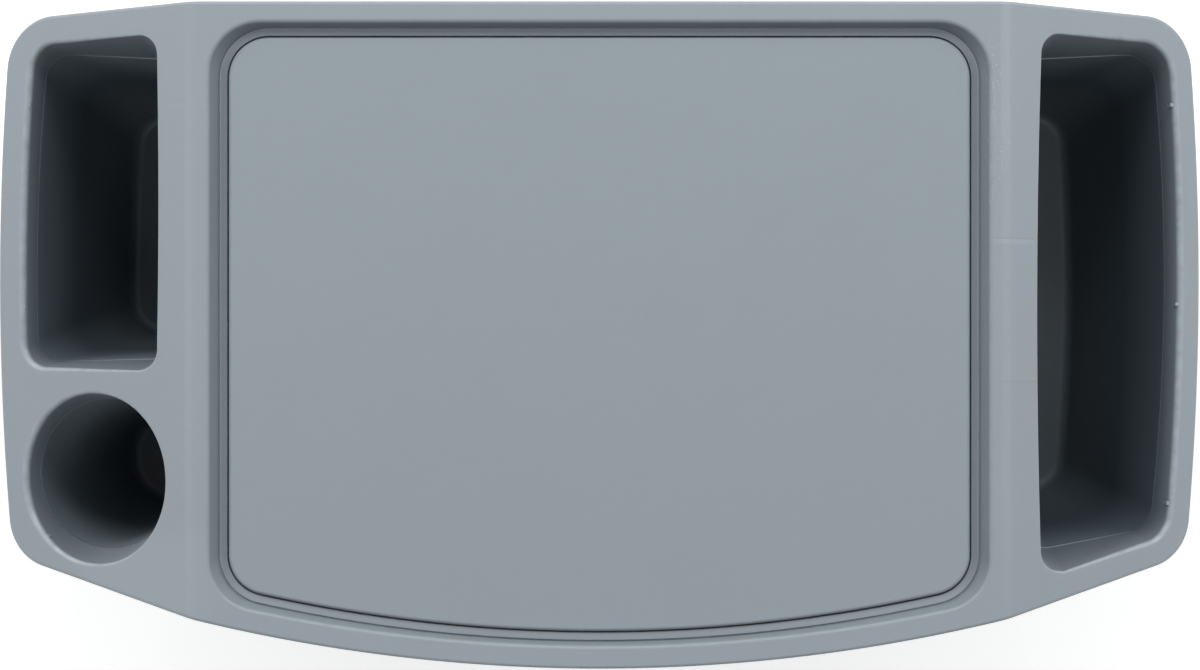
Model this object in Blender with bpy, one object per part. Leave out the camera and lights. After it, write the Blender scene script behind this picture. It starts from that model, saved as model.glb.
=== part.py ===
"""Bed tray: a moulded deck with bent wings, a lift-out centre panel, two pocket bins and a cup well.

Metres, +Z up. +X is the right-hand side of the person who uses the tray, +Y its straight back edge.
The origin is on the floor, under the middle of the tray. The bins stand on the floor and are its legs.
"""

import math

import bmesh
import bpy
from mathutils import Vector
from mathutils.geometry import delaunay_2d_cdt

# Overall size and the plan of the deck
TRAY_HEIGHT = 0.214
TRAY_DEPTH = 0.3264
FRONT_ARC_RADIUS = 0.837
FRONT_ARC_REACH = 0.196
BACK_CORNER_RADIUS = 0.0275
FRONT_CORNER_RADIUS = 0.026
SIDE_ARC_RADIUS = 1.28
SIDE_ARC_MIDDLE = 0.029

# The wings, which bend down from the level middle
WING_START = 0.199
WING_REACH = 0.1124
WING_ANGLE = math.radians(29.0)
BEND_RADIUS = 0.018

# Walls of the mouldings and their edges
WALL = 0.0026
EDGE_RADIUS = 0.0024
SKIRT_DEPTH = 0.012
SKIRT_FLARE = 0.0005
SMALL_EDGE = 0.0004
INSIDE_RADIUS = 0.0012
FIT = 0.0003

# The recess in the middle of the deck
RECESS_SIDE_LAND = 0.0085
RECESS_BACK_LAND = 0.0108
RECESS_FRONT_LAND = 0.0116
RECESS_CORNER_RADIUS = 0.0245
RECESS_EDGE_RADIUS = 0.002
LEDGE_DROP = 0.0065
WALL_RUN_SIDES = 0.0037
WALL_RUN_ENDS = 0.0013
GROOVE_WIDTH = 0.0008
GROOVE_DEPTH = 0.0009
LEDGE_WIDTH = 0.0037
SEAT_DROP = 0.0099

# The centre panel, which drops into the seat inside the ledge
PANEL_GAP = 0.0009
PANEL_PROUD = 0.0025
PANEL_SKIN = 0.0028
PANEL_ARC_RADIUS = 0.767
PANEL_CORNER_RADIUS = 0.0197
PANEL_EDGE_RADIUS = 0.0016
PANEL_FLANGE = 0.0026
PANEL_RIB = 0.002
PANEL_RIB_PITCH = 0.072
PANEL_RIB_COUNT = 4

# The joint between the deck's collars and the bins
SEAM_BELOW_RIM = 0.0045
LAP = 0.003
TONGUE = 0.00105
RIM_STEP = 0.0004

# Mouths of the wells, given by the widths of deck left round them
LAND_BACK = 0.0148
LIP_INNER = 0.0008
LIP_OUTER = 0.0028
RIGHT_LAND_INNER = 0.0163
RIGHT_LAND_OUTER = 0.0156
RIGHT_LAND_FRONT = 0.0151
RIGHT_OUTER_CORNER = 0.0165
LEFT_LAND_INNER = 0.018
LEFT_LAND_OUTER = 0.0169
LEFT_OUTER_CORNER = 0.013
LEFT_FRONT_ANGLE = math.radians(1.1)
POCKET_INNER_CORNER = 0.0105
POCKET_OUTER_ARC_RADIUS = 1.2
POCKET_OUTER_MIDDLE = 0.03
POCKET_INNER_ARC_RADIUS = 3.4
CUP_LAND_INNER = 0.014
CUP_LAND_OUTER = 0.0191
CUP_LAND_FRONT = 0.011
CUP_STRETCH = 1.063
CUP_DIVIDER = 0.0129

# The wells below their mouths
POCKET_DRAFT_OUTER = 0.016
POCKET_DRAFT_INNER = 0.006
POCKET_DRAFT_ENDS = 0.0165
POCKET_FLOOR_CORNER = 0.021
CUP_DRAFT = 0.0145
FLOOR_THICKNESS = 0.0028
FLOOR_FILLET = 0.006
BASE_FILLET = 0.004

# Screws, their ears on the bins and their bosses under the deck
SCREW_RADIUS = 0.0015
SCREW_LENGTH = 0.010
SCREW_POINT = 0.0015
SCREW_HEAD_RADIUS = 0.0029
SCREW_HEAD_HEIGHT = 0.002
SCREW_HEAD_ROUNDING = 0.0009
SCREW_TIP_RADIUS = 0.0004
EAR_REACH = 0.0056
EAR_RADIUS = 0.0042
EAR_THICKNESS = 0.003
EAR_END_INSET = 0.030
BOSS_RADIUS = 0.0034
WEB_THICKNESS = 0.0018
WEB_RISE = 0.0006
PILOT_SPARE = 0.0008
PILOT_TURN = 0.5
CUP_EAR_ANGLES = [math.radians(angle) for angle in (47.0, 133.0, 227.0, 313.0)]

# Ribs under the deck between the recess and the wells: the side that each is on, and its place
GUSSETS = [(1, 0.046), (1, -0.022), (-1, 0.1135)]
GUSSET_THICKNESS = 0.002
GUSSET_DEPTH = 0.011

# How finely round shapes are divided
CORNER_STEPS = 5
FILLET_STEPS = 3
ARC_STEPS = 6
FRONT_ARC_STEPS = 18
BEND_STEPS = 3
ROUND_SIDES = 12
CUP_SIDES = 40

# How far a guide line lies from the edge that it gives a direction to
GUIDE = 0.004

# The same beside the lips of the wells, whose roundings are wider
LIP_GUIDE = 0.009

# The most of a side that a fillet takes up, a little under half
FILLET_SHARE = 0.49

# Closer than this, two places are the same
SAME_PLACE = 1e-6

DECK_GREY = (0.315, 0.352, 0.384, 1.0)
PANEL_GREY = (0.292, 0.330, 0.361, 1.0)
ZINC = (0.62, 0.62, 0.60, 1.0)
DECK_ROUGHNESS = 0.5
PANEL_ROUGHNESS = 0.55
ZINC_ROUGHNESS = 0.35
SHARP_ANGLE = math.radians(40.0)


class Line:
    """A straight edge of an outline, run with the inside on its left."""

    def __init__(self, point, heading, stops=()):
        self.point = Vector(point)
        self.heading = heading
        self.along = Vector((math.cos(heading), math.sin(heading)))
        self.out = Vector((self.along.y, -self.along.x))
        self.stops = stops

    def inset(self, distance):
        return Line(self.point - self.out * distance, self.heading)

    def touch(self, centre):
        return self.point + self.along * (centre - self.point).dot(self.along)

    def outward(self, place):
        return self.out.copy()

    def between(self, start, end):
        """Points where the edge crosses its stops, which are places across the tray.

        They stay on their stops when the outline is spread, so they move straight forwards or back.
        """
        shares = sorted((stop - start.x) / (end - start).x for stop in self.stops)
        straight_out = Vector((0, 1 / self.out.y))
        return [(start.lerp(end, share), straight_out) for share in shares if 0 < share < 1]


class Arc:
    """A round edge of an outline that bulges outwards, run anticlockwise."""

    def __init__(self, centre, radius, steps=ARC_STEPS, stops=()):
        self.centre = Vector(centre)
        self.radius = radius
        self.steps = steps
        self.stops = stops

    def inset(self, distance):
        return Arc(self.centre, self.radius - distance)

    def touch(self, centre):
        return self.centre + (centre - self.centre).normalized() * self.radius

    def outward(self, place):
        return (place - self.centre).normalized()

    def between(self, start, end):
        """Even points between the ends, and those where the lower half of the arc crosses its stops."""
        marks = turned(self.centre, start, end, self.steps)[1:-1]
        for stop in self.stops:
            if start.x < stop < end.x:
                across = stop - self.centre.x
                out = Vector((across, -math.sqrt(self.radius ** 2 - across ** 2))) / self.radius
                marks.append((self.centre + out * self.radius, Vector((0, 1 / out.y))))
        return sorted(marks, key=lambda mark: -(start - self.centre).angle_signed(mark[0] - self.centre))


def turned(centre, start, end, steps):
    """Points anticlockwise round a centre from start to end, each with its outward direction."""
    arm = start - centre
    sweep = -arm.angle_signed(end - centre)
    marks = []
    for step in range(steps + 1):
        cosine = math.cos(sweep * step / steps)
        sine = math.sin(sweep * step / steps)
        spoke = Vector((arm.x * cosine - arm.y * sine, arm.x * sine + arm.y * cosine))
        marks.append((centre + spoke, spoke.normalized()))
    return marks


def meeting(first, second, near):
    """Where a straight edge meets another edge, at the crossing closest to a given place."""
    if isinstance(first, Arc):
        first, second = second, first
    if isinstance(second, Line):
        share = (second.point - first.point).dot(second.out) / first.along.dot(second.out)
        return first.point + first.along * share
    apart = first.point - second.centre
    half = apart.dot(first.along)
    root = math.sqrt(half * half - apart.dot(apart) + second.radius ** 2)
    crossings = [first.point + first.along * (root - half), first.point - first.along * (root + half)]
    return min(crossings, key=lambda place: (place - near).length)


class Outline:
    """A closed line in plan, as points that each have an outward direction."""

    def __init__(self, marks):
        self.marks = marks

    @classmethod
    def joined(cls, edges, corners):
        """Joins edges in a ring. Each corner is the radius and the rough place after its edge.

        A radius of 0 is a smooth join at exactly that place.
        """
        bends = []
        for number, (radius, near) in enumerate(corners):
            edge = edges[number]
            following = edges[(number + 1) % len(edges)]
            near = Vector(near)
            if radius:
                centre = meeting(edge.inset(radius), following.inset(radius), near)
                bends.append(turned(centre, edge.touch(centre), following.touch(centre), CORNER_STEPS))
            else:
                bends.append([(near, edge.outward(near))])
        marks = []
        for number, edge in enumerate(edges):
            marks += edge.between(bends[number - 1][-1][0], bends[number][0][0])
            marks += bends[number]
        return cls(marks)

    def mirrored(self):
        """The same outline on the other side of the tray."""
        flip = Vector((-1, 1))
        return Outline([(place * flip, out * flip) for place, out in reversed(self.marks)])

    def at(self, height, spread=0.0):
        """The outline as points at one height, moved outwards by a spread."""
        return [(place + out * spread).to_3d() + Vector((0, 0, height)) for place, out in self.marks]

    def on_surface(self, surface, spread=0.0):
        """The outline laid on a surface whose height depends on the place across the tray."""
        flat = [place + out * spread for place, out in self.marks]
        return [Vector((place.x, place.y, surface(place.x))) for place in flat]


def half_width():
    """Half of the tray's overall width."""
    return WING_START + WING_REACH


def bend_places():
    """Where the facets of the bend between the middle and the right wing start and end."""
    start = WING_START - BEND_RADIUS * math.tan(WING_ANGLE / 2)
    turns = [WING_ANGLE * step / BEND_STEPS for step in range(BEND_STEPS + 1)]
    return [start + BEND_RADIUS * math.sin(turn) for turn in turns]


def deck_top(x):
    """Height of the deck's upper side, level in the middle and falling along each wing."""
    tangent = BEND_RADIUS * math.tan(WING_ANGLE / 2)
    past = abs(x) - (WING_START - tangent)
    if past <= 0:
        return TRAY_HEIGHT
    if past < BEND_RADIUS * math.sin(WING_ANGLE):
        return TRAY_HEIGHT - BEND_RADIUS + math.sqrt(BEND_RADIUS ** 2 - past ** 2)
    return TRAY_HEIGHT - (abs(x) - WING_START) * math.tan(WING_ANGLE)


def deck_under(x):
    """Height of the deck's underside. Its own bend turns about the same centre as the upper side's."""
    past = abs(x) - (WING_START - BEND_RADIUS * math.tan(WING_ANGLE / 2))
    radius = BEND_RADIUS - WALL
    if past <= 0:
        return TRAY_HEIGHT - WALL
    if past < radius * math.sin(WING_ANGLE):
        return TRAY_HEIGHT - BEND_RADIUS + math.sqrt(radius ** 2 - past ** 2)
    return TRAY_HEIGHT - (abs(x) - WING_START) * math.tan(WING_ANGLE) - WALL / math.cos(WING_ANGLE)


def deck_middle(x):
    """Height halfway through the deck's sheet, where what hangs from it is rooted."""
    return (deck_top(x) + deck_under(x)) / 2


def seam_height():
    """Height of the fine line inside each well where its bin meets the deck's collar."""
    return deck_top(half_width()) - SEAM_BELOW_RIM


def front_arc_centre():
    return Vector((0, FRONT_ARC_RADIUS - TRAY_DEPTH / 2))


def wing_front():
    """The straight front edge of the right wing, which carries on from the end of the front arc."""
    slope = math.asin(FRONT_ARC_REACH / FRONT_ARC_RADIUS)
    join = front_arc_centre() + Vector((FRONT_ARC_REACH, -FRONT_ARC_RADIUS * math.cos(slope)))
    return Line(join, slope, bend_places())


def side_arc_centre():
    """Centre of the arc that the right-hand side edge follows."""
    return Vector((half_width() - SIDE_ARC_RADIUS, SIDE_ARC_MIDDLE))


def deck_outline():
    """The plan of the whole tray, starting with the front arc."""
    front = wing_front()
    join = front.point
    wide = half_width()
    back = TRAY_DEPTH / 2
    bends = bend_places()
    mirrored_bends = [-place for place in bends]
    side = side_arc_centre()
    edges = [
        Arc(front_arc_centre(), FRONT_ARC_RADIUS, FRONT_ARC_STEPS, mirrored_bends + bends),
        front,
        Arc(side, SIDE_ARC_RADIUS),
        Line((0, back), math.pi, bends + mirrored_bends),
        Arc((-side.x, side.y), SIDE_ARC_RADIUS),
        Line((-join.x, join.y), -front.heading, mirrored_bends),
    ]
    corners = [
        (0, join),
        (FRONT_CORNER_RADIUS, (wide, join.y)),
        (BACK_CORNER_RADIUS, (wide, back)),
        (BACK_CORNER_RADIUS, (-wide, back)),
        (FRONT_CORNER_RADIUS, (-wide, join.y)),
        (0, (-join.x, join.y)),
    ]
    return Outline.joined(edges, corners)


def field_outline(front, inset_sides, inset_back, corner_radius):
    """An outline inside the deck's level middle, with a straight back and a given front arc."""
    wide = WING_START - RECESS_SIDE_LAND - inset_sides
    back = TRAY_DEPTH / 2 - RECESS_BACK_LAND - inset_back
    edges = [
        front,
        Line((wide, 0), math.pi / 2),
        Line((0, back), math.pi),
        Line((-wide, 0), -math.pi / 2),
    ]
    places = [(wide, -back), (wide, back), (-wide, back), (-wide, -back)]
    return Outline.joined(edges, [(corner_radius, place) for place in places])


def recess_outline():
    """The plan of the recess's upper edge, whose front runs along the deck's."""
    front = Arc(front_arc_centre(), FRONT_ARC_RADIUS - RECESS_FRONT_LAND, FRONT_ARC_STEPS)
    return field_outline(front, 0.0, 0.0, RECESS_CORNER_RADIUS)


def panel_front():
    """The panel's front edge, which is a little rounder than the deck's."""
    lowest = RECESS_FRONT_LAND + WALL_RUN_ENDS + GROOVE_WIDTH + LEDGE_WIDTH + PANEL_GAP - TRAY_DEPTH / 2
    return Arc((0, lowest + PANEL_ARC_RADIUS), PANEL_ARC_RADIUS, FRONT_ARC_STEPS)


def panel_outline():
    """The plan of the centre panel, inside the wall, the groove, the ledge and the gap."""
    past_wall = GROOVE_WIDTH + LEDGE_WIDTH + PANEL_GAP
    return field_outline(panel_front(), WALL_RUN_SIDES + past_wall, WALL_RUN_ENDS + past_wall, PANEL_CORNER_RADIUS)


class Well:
    """A pocket or the cup well: straight lines run from its mouth on the wing to its floor."""

    def __init__(self, mouth, floor, side):
        if side < 0:
            mouth = mouth.mirrored()
            floor = floor.mirrored()
        self.side = side
        self.mouth = mouth
        self.tops = mouth.on_surface(deck_top)
        self.feet = floor.at(FLOOR_THICKNESS)
        self.outs = [out.to_3d() for place, out in mouth.marks]
        inner = min(abs(top.x) for top in self.tops)
        outer = max(abs(top.x) for top in self.tops)
        self.lips = [LIP_INNER + (LIP_OUTER - LIP_INNER) * (abs(top.x) - inner) / (outer - inner)
                     for top in self.tops]

    def level(self, height, spread=0.0):
        """The inside of the wall at a height, moved outwards by a spread."""
        loop = []
        for top, foot, out in zip(self.tops, self.feet, self.outs):
            share = (top.z - height) / (top.z - foot.z)
            loop.append(top.lerp(foot, share) + out * spread)
        return loop

    def wall_place(self, height, start, heading, spread):
        """Where a level ray from inside the well leaves the wall, at a height and a spread."""
        loop = self.level(height, spread)
        along = Vector((math.cos(heading), math.sin(heading)))
        across = Vector((-along.y, along.x))
        for first, second in zip(loop, loop[1:] + loop[:1]):
            side_first = (first.xy - start).dot(across)
            side_second = (second.xy - start).dot(across)
            if side_first < 0 <= side_second:
                return first.xy.lerp(second.xy, side_first / (side_first - side_second))
        raise ValueError("the ray misses the wall")


class Ear:
    """One fixing of a bin: where its wall is, and where its screw goes."""

    def __init__(self, well, start, heading):
        self.well = well
        self.start = Vector(start)
        self.heading = heading
        self.along = Vector((math.cos(heading), math.sin(heading)))
        self.across = Vector((-self.along.y, self.along.x))
        self.top = seam_height() - LAP - FIT
        self.wall = well.wall_place(self.top, self.start, heading, WALL)
        self.centre = self.wall + self.along * EAR_REACH

    def keyhole(self, radius, half_root, root):
        """A round tab about the screw that reaches back to a root in the wall."""
        tangent = math.asin(min(1.0, half_root / radius))
        first = self.heading - math.pi + tangent
        sweep = 2 * math.pi - 2 * tangent
        loop = [root - self.across * half_root]
        for step in range(ROUND_SIDES + 1):
            angle = first + sweep * step / ROUND_SIDES
            loop.append(self.centre + Vector((math.cos(angle), math.sin(angle))) * radius)
        loop.append(root + self.across * half_root)
        return loop

    def circle(self, radius, first=0.0):
        """A circle about the screw. first is how many of its sides it is turned by."""
        angles = [self.heading + 2 * math.pi * (first + number) / ROUND_SIDES for number in range(ROUND_SIDES)]
        return [self.centre + Vector((math.cos(angle), math.sin(angle))) * radius for angle in angles]

    def hole(self, outer, radius):
        """A round hole about the screw with a point for each point of the loop round it."""
        return [self.centre + (place - self.centre).normalized() * radius for place in outer]

    def screw_seat(self):
        """Where the underside of the screw's head lies, just under the ear."""
        return self.centre.to_3d() + Vector((0, 0, self.top - EAR_THICKNESS - FIT))

    def root(self, height, depth):
        """A place inside the wall, at a height and at a depth below its outer face."""
        return self.well.wall_place(height, self.start, self.heading, WALL - depth)


def pocket(side, land_inner, land_outer, outer_corner, front):
    """A pocket with a bowed outer wall. front is its front edge as a Line."""
    inner = WING_START + land_inner
    outer = half_width() - land_outer
    back = TRAY_DEPTH / 2 - LAND_BACK
    front_place = front.point.y
    middle = (back + front_place) / 2

    def edges(draft_inner, draft_outer, draft_ends):
        return [
            front.inset(draft_ends),
            Arc((outer - POCKET_OUTER_ARC_RADIUS, POCKET_OUTER_MIDDLE), POCKET_OUTER_ARC_RADIUS - draft_outer),
            Line((0, back - draft_ends), math.pi),
            Arc((inner + POCKET_INNER_ARC_RADIUS, middle), POCKET_INNER_ARC_RADIUS - draft_inner),
        ]

    def corners(inner_radius, outer_radius):
        return [(outer_radius, (outer, front_place)), (outer_radius, (outer, back)),
                (inner_radius, (inner, back)), (inner_radius, (inner, front_place))]

    mouth = Outline.joined(edges(0.0, 0.0, 0.0), corners(POCKET_INNER_CORNER, outer_corner))
    drafts = (POCKET_DRAFT_INNER, POCKET_DRAFT_OUTER, POCKET_DRAFT_ENDS)
    floor = Outline.joined(edges(*drafts), corners(POCKET_FLOOR_CORNER, POCKET_FLOOR_CORNER))
    return Well(mouth, floor, side)


def right_pocket():
    """The long pocket on the right, whose front edge runs along the wing's."""
    front = wing_front().inset(RIGHT_LAND_FRONT)
    return pocket(1, RIGHT_LAND_INNER, RIGHT_LAND_OUTER, RIGHT_OUTER_CORNER, front)


def cup_radius():
    """Half of the cup mouth's width, which fills the wing between its two lands."""
    return (WING_REACH - CUP_LAND_INNER - CUP_LAND_OUTER) / 2


def cup_half_length():
    """Half of the cup mouth's length from front to back, which is a little more than its width."""
    return cup_radius() * CUP_STRETCH


def cup_centre():
    """The cup well's axis on the right-hand side, before it is mirrored to the left."""
    x = WING_START + CUP_LAND_INNER + cup_radius()
    edge = wing_front().inset(CUP_LAND_FRONT + cup_half_length())
    return meeting(edge, Line((x, 0), math.pi / 2), None)


def left_pocket():
    """The shorter pocket on the left, which ends a divider's width behind the cup well."""
    place = (cup_centre().x, cup_centre().y + cup_half_length() + CUP_DIVIDER)
    front = Line(place, LEFT_FRONT_ANGLE)
    return pocket(-1, LEFT_LAND_INNER, LEFT_LAND_OUTER, LEFT_OUTER_CORNER, front)


def cup_well():
    """The nearly round well, which tapers evenly from its mouth on the wing to its floor."""
    centre = cup_centre()
    mouth = []
    floor = []
    for number in range(CUP_SIDES):
        angle = 2 * math.pi * number / CUP_SIDES
        spoke = Vector((math.cos(angle) * cup_radius(), math.sin(angle) * cup_half_length()))
        out = Vector((math.cos(angle) * cup_half_length(), math.sin(angle) * cup_radius())).normalized()
        mouth.append((centre + spoke, out))
        floor.append((centre + spoke - out * CUP_DRAFT, out))
    return Well(Outline(mouth), Outline(floor), -1)


def rounded(stations, steps=FILLET_STEPS):
    """The loops of a surface through its stations, with each station's edge rounded.

    A station is a loop of points and a radius, or a radius for each point. The first and the last
    only give directions and aren't part of the surface.
    """
    loops = []
    for number in range(1, len(stations) - 1):
        before = stations[number - 1][0]
        points, radii = stations[number]
        after = stations[number + 1][0]
        if not isinstance(radii, list):
            radii = [radii] * len(points)
        if not any(radii):
            loops.append(points)
            continue
        curves = [fillet(*corner, steps) for corner in zip(before, points, after, radii)]
        loops += [list(loop) for loop in zip(*curves)]
    return loops


def fillet(before, corner, after, radius, steps):
    """Points along the arc that rounds a corner, which leaves room on both sides for the next one."""
    first = before - corner
    second = after - corner
    half_angle = first.angle(second) / 2
    longest = min(first.length, second.length) * FILLET_SHARE
    tangent = min(radius / math.tan(half_angle), longest)
    start = corner + first.normalized() * tangent
    end = corner + second.normalized() * tangent
    weight = math.sin(half_angle)
    points = []
    for step in range(steps + 1):
        share = step / steps
        shares = ((1 - share) ** 2, 2 * share * (1 - share) * weight, share ** 2)
        points.append((start * shares[0] + corner * shares[1] + end * shares[2]) / sum(shares))
    return points


def skin(bm, loops, ring=False):
    """Adds bands of faces between loops with as many points each. Returns the first and last loop."""
    rows = [[bm.verts.new(point) for point in loop] for loop in loops]
    pairs = list(zip(rows, rows[1:]))
    if ring:
        pairs.append((rows[-1], rows[0]))
    for upper, lower in pairs:
        for number in range(len(upper)):
            following = (number + 1) % len(upper)
            bm.faces.new((upper[number], upper[following], lower[following], lower[number]))
    return rows[0], rows[-1]


def capped(bm, loops):
    """A closed body from loops, with a flat cap on the first and on the last."""
    first, last = skin(bm, loops)
    bm.faces.new(first)
    bm.faces.new(last)


def within(place, loop):
    """Whether a place in plan lies inside a loop of vertices."""
    crossed = False
    for first, second in zip(loop, loop[1:] + loop[:1]):
        low, high = first.co, second.co
        if (low.y > place.y) != (high.y > place.y):
            share = (place.y - low.y) / (high.y - low.y)
            if place.x < low.x + (high.x - low.x) * share:
                crossed = not crossed
    return crossed


def fill_between(bm, border, holes, creases):
    """Fills from a border to its holes as seen in plan, with an edge along each crease of the border."""
    verts = [vert for ring in [border] + holes for vert in ring]
    edges = list(creases)
    first = 0
    for ring in [border] + holes:
        edges += [(first + number, first + (number + 1) % len(ring)) for number in range(len(ring))]
        first += len(ring)
    places = [vert.co.xy for vert in verts]
    inside_only = 1
    filled = delaunay_2d_cdt(places, edges, [], inside_only, SAME_PLACE)
    sources = [found[0] for found in filled[3]]
    for face in filled[2]:
        corners = [verts[sources[number]] for number in face]
        middle = sum((corner.co for corner in corners), Vector()) / len(corners)
        if not any(within(middle, hole) for hole in holes):
            bm.faces.new(corners)


def creases(outline):
    """Pairs of the deck outline's points, front and back, that the bend's facets run between."""
    pairs = []
    for place in bend_places() + [-place for place in bend_places()]:
        pairs.append(tuple(number for number, (point, out) in enumerate(outline.marks)
                           if abs(point.x - place) < SAME_PLACE))
    return pairs


def rim_stations(outline):
    """Over the rounded edge of the deck, down the skirt and up its inner side to the underside."""
    def below(x):
        return deck_top(x) - SKIRT_DEPTH

    return [
        (outline.on_surface(deck_top, -GUIDE), 0),
        (outline.on_surface(deck_top, -SKIRT_FLARE), EDGE_RADIUS),
        (outline.on_surface(below), SMALL_EDGE),
        (outline.on_surface(below, -WALL), 0),
        (outline.on_surface(deck_under, -SKIRT_FLARE - WALL), INSIDE_RADIUS),
        (outline.on_surface(deck_under, -WALL - GUIDE), 0),
    ]


def recess_stations():
    """Down the recess's wall, over the groove and the ledge, to the seat that the panel rests on."""
    edge = recess_outline()
    panel = panel_outline()
    ledge = TRAY_HEIGHT - LEDGE_DROP
    ledge_outer = PANEL_GAP + LEDGE_WIDTH
    seat = TRAY_HEIGHT - SEAT_DROP
    return [
        (edge.at(TRAY_HEIGHT, GUIDE), 0),
        (edge.at(TRAY_HEIGHT), RECESS_EDGE_RADIUS),
        (panel.at(ledge - GROOVE_DEPTH, ledge_outer + GROOVE_WIDTH), 0),
        (panel.at(ledge - GROOVE_DEPTH, ledge_outer + GROOVE_WIDTH / 2), 0),
        (panel.at(ledge, ledge_outer), SMALL_EDGE),
        (panel.at(ledge, PANEL_GAP), SMALL_EDGE),
        (panel.at(seat, PANEL_GAP), 0),
        (panel.at(seat, -GUIDE), 0),
    ]


def recess_under_stations():
    """The underside of the recess, a wall's thickness outside and below it."""
    edge = recess_outline()
    panel = panel_outline()
    ledge = TRAY_HEIGHT - LEDGE_DROP - WALL
    outside = PANEL_GAP + LEDGE_WIDTH + GROOVE_WIDTH + WALL
    floor = TRAY_HEIGHT - SEAT_DROP - WALL
    return [
        (edge.at(TRAY_HEIGHT - WALL, WALL + GUIDE), 0),
        (edge.at(TRAY_HEIGHT - WALL, WALL / 2), INSIDE_RADIUS),
        (panel.at(ledge, outside), SMALL_EDGE),
        (panel.at(ledge, PANEL_GAP + WALL), 0),
        (panel.at(floor, PANEL_GAP + WALL), SMALL_EDGE),
        (panel.at(floor, -GUIDE), 0),
    ]


def collar_stations(well):
    """Over the lip of a well, down to the seam and its tongue, and back up to the underside."""
    seam = seam_height()
    inner_half = WALL - TONGUE
    return [
        (well.mouth.on_surface(deck_top, LIP_GUIDE), 0),
        (well.tops, well.lips),
        (well.level(seam), 0),
        (well.level(seam, inner_half), 0),
        (well.level(seam - LAP, inner_half), 0),
        (well.level(seam - LAP, WALL), 0),
        (well.mouth.on_surface(deck_under, WALL), INSIDE_RADIUS),
        (well.mouth.on_surface(deck_under, WALL + GUIDE), 0),
    ]


def deck_body(wells):
    """The deck's moulding without what hangs from its underside."""
    bm = bmesh.new()
    outline = deck_outline()
    rim_top, rim_under = skin(bm, rounded(rim_stations(outline)))
    recess_top, seat = skin(bm, rounded(recess_stations(), 2))
    recess_under, floor = skin(bm, rounded(recess_under_stations(), 2))
    bm.faces.new(seat)
    bm.faces.new(floor)
    mouths = []
    collars = []
    for well in wells:
        mouth, collar = skin(bm, rounded(collar_stations(well)))
        mouths.append(mouth)
        collars.append(collar)
    fill_between(bm, rim_top, [recess_top] + mouths, creases(outline))
    fill_between(bm, rim_under, [recess_under] + collars, creases(outline))
    return bm


def screw_bosses(ears):
    """A round boss for each screw, down from the deck's sheet to just above its ear."""
    bm = bmesh.new()
    for ear in ears:
        plan = ear.circle(BOSS_RADIUS)
        capped(bm, [
            [Vector((place.x, place.y, deck_middle(place.x))) for place in plan],
            [place.to_3d() + Vector((0, 0, seam_height() - LAP)) for place in plan],
        ])
    return bm


def boss_webs(ears):
    """A web from each boss's middle to the collar beside it, which ends a little above the boss's foot."""
    bm = bmesh.new()
    bottom = seam_height() - LAP + WEB_RISE
    for ear in ears:
        side = ear.across * WEB_THICKNESS / 2
        root = ear.root(deck_middle(ear.wall.x), WALL / 2)
        root_below = ear.root(bottom, TONGUE / 2)
        upper = [root - side, ear.centre - side, ear.centre + side, root + side]
        lower = [root_below - side, ear.centre - side, ear.centre + side, root_below + side]
        capped(bm, [
            [Vector((place.x, place.y, deck_middle(place.x))) for place in upper],
            [place.to_3d() + Vector((0, 0, bottom)) for place in lower],
        ])
    return bm


def pilot_holes(ears):
    """What is cut from the bosses for the screws, turned a part of a side so that no corner meets a web."""
    bm = bmesh.new()
    for ear in ears:
        plan = ear.circle(SCREW_RADIUS + FIT, PILOT_TURN)
        heights = (ear.screw_seat().z + SCREW_LENGTH + PILOT_SPARE, ear.screw_seat().z)
        capped(bm, [[place.to_3d() + Vector((0, 0, height)) for place in plan] for height in heights])
    return bm


def add_gusset(bm, side, place, pockets):
    """A rib across the strip between the recess and a pocket, a little deeper than the deck's sheet."""
    pocket_beside = next(well for well in pockets if well.side == side)
    middle = sum(top.x for top in pocket_beside.tops) / len(pocket_beside.tops)
    inward = math.pi if side > 0 else 0.0
    bottom = deck_top(pocket_beside.tops[0].x) - GUSSET_DEPTH
    reach = abs(pocket_beside.wall_place(bottom, Vector((middle, place)), inward, WALL / 2).x)
    first = WING_START - RECESS_SIDE_LAND
    below = first - WALL_RUN_SIDES
    across = [first] + [stop for stop in bend_places() if first < stop < reach] + [reach]
    sides = []
    for offset in (-GUSSET_THICKNESS / 2, GUSSET_THICKNESS / 2):
        upper = [Vector((side * x, place + offset, deck_middle(x))) for x in across]
        lower = [Vector((side * x, place + offset, deck_top(x) - GUSSET_DEPTH)) for x in [below] + across[1:]]
        sides.append(upper + lower[::-1])
    capped(bm, sides)


def gussets(pockets):
    """The ribs under the deck between the recess and the pockets."""
    bm = bmesh.new()
    for side, place in GUSSETS:
        add_gusset(bm, side, place, pockets)
    return bm


def bin_body(well):
    """A bin: inside from its floor to the seam, over its lap joint, and down its outer side.

    Its inside stands in from the collar's, so its rim shows as a fine step all round.
    """
    seam = seam_height() - FIT
    shoulder = seam - LAP
    lip = WALL - TONGUE - FIT
    bm = bmesh.new()
    capped(bm, rounded([
        (well.level(FLOOR_THICKNESS, -2 * FLOOR_FILLET), 0),
        (well.level(FLOOR_THICKNESS, -RIM_STEP), FLOOR_FILLET),
        (well.level(seam, -RIM_STEP), 0),
        (well.level(seam, lip), 0),
        (well.level(shoulder, lip), 0),
        (well.level(shoulder, WALL), 0),
        (well.level(0.0, WALL), BASE_FILLET),
        (well.level(0.0, -BASE_FILLET), 0),
    ]))
    return bm


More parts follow.
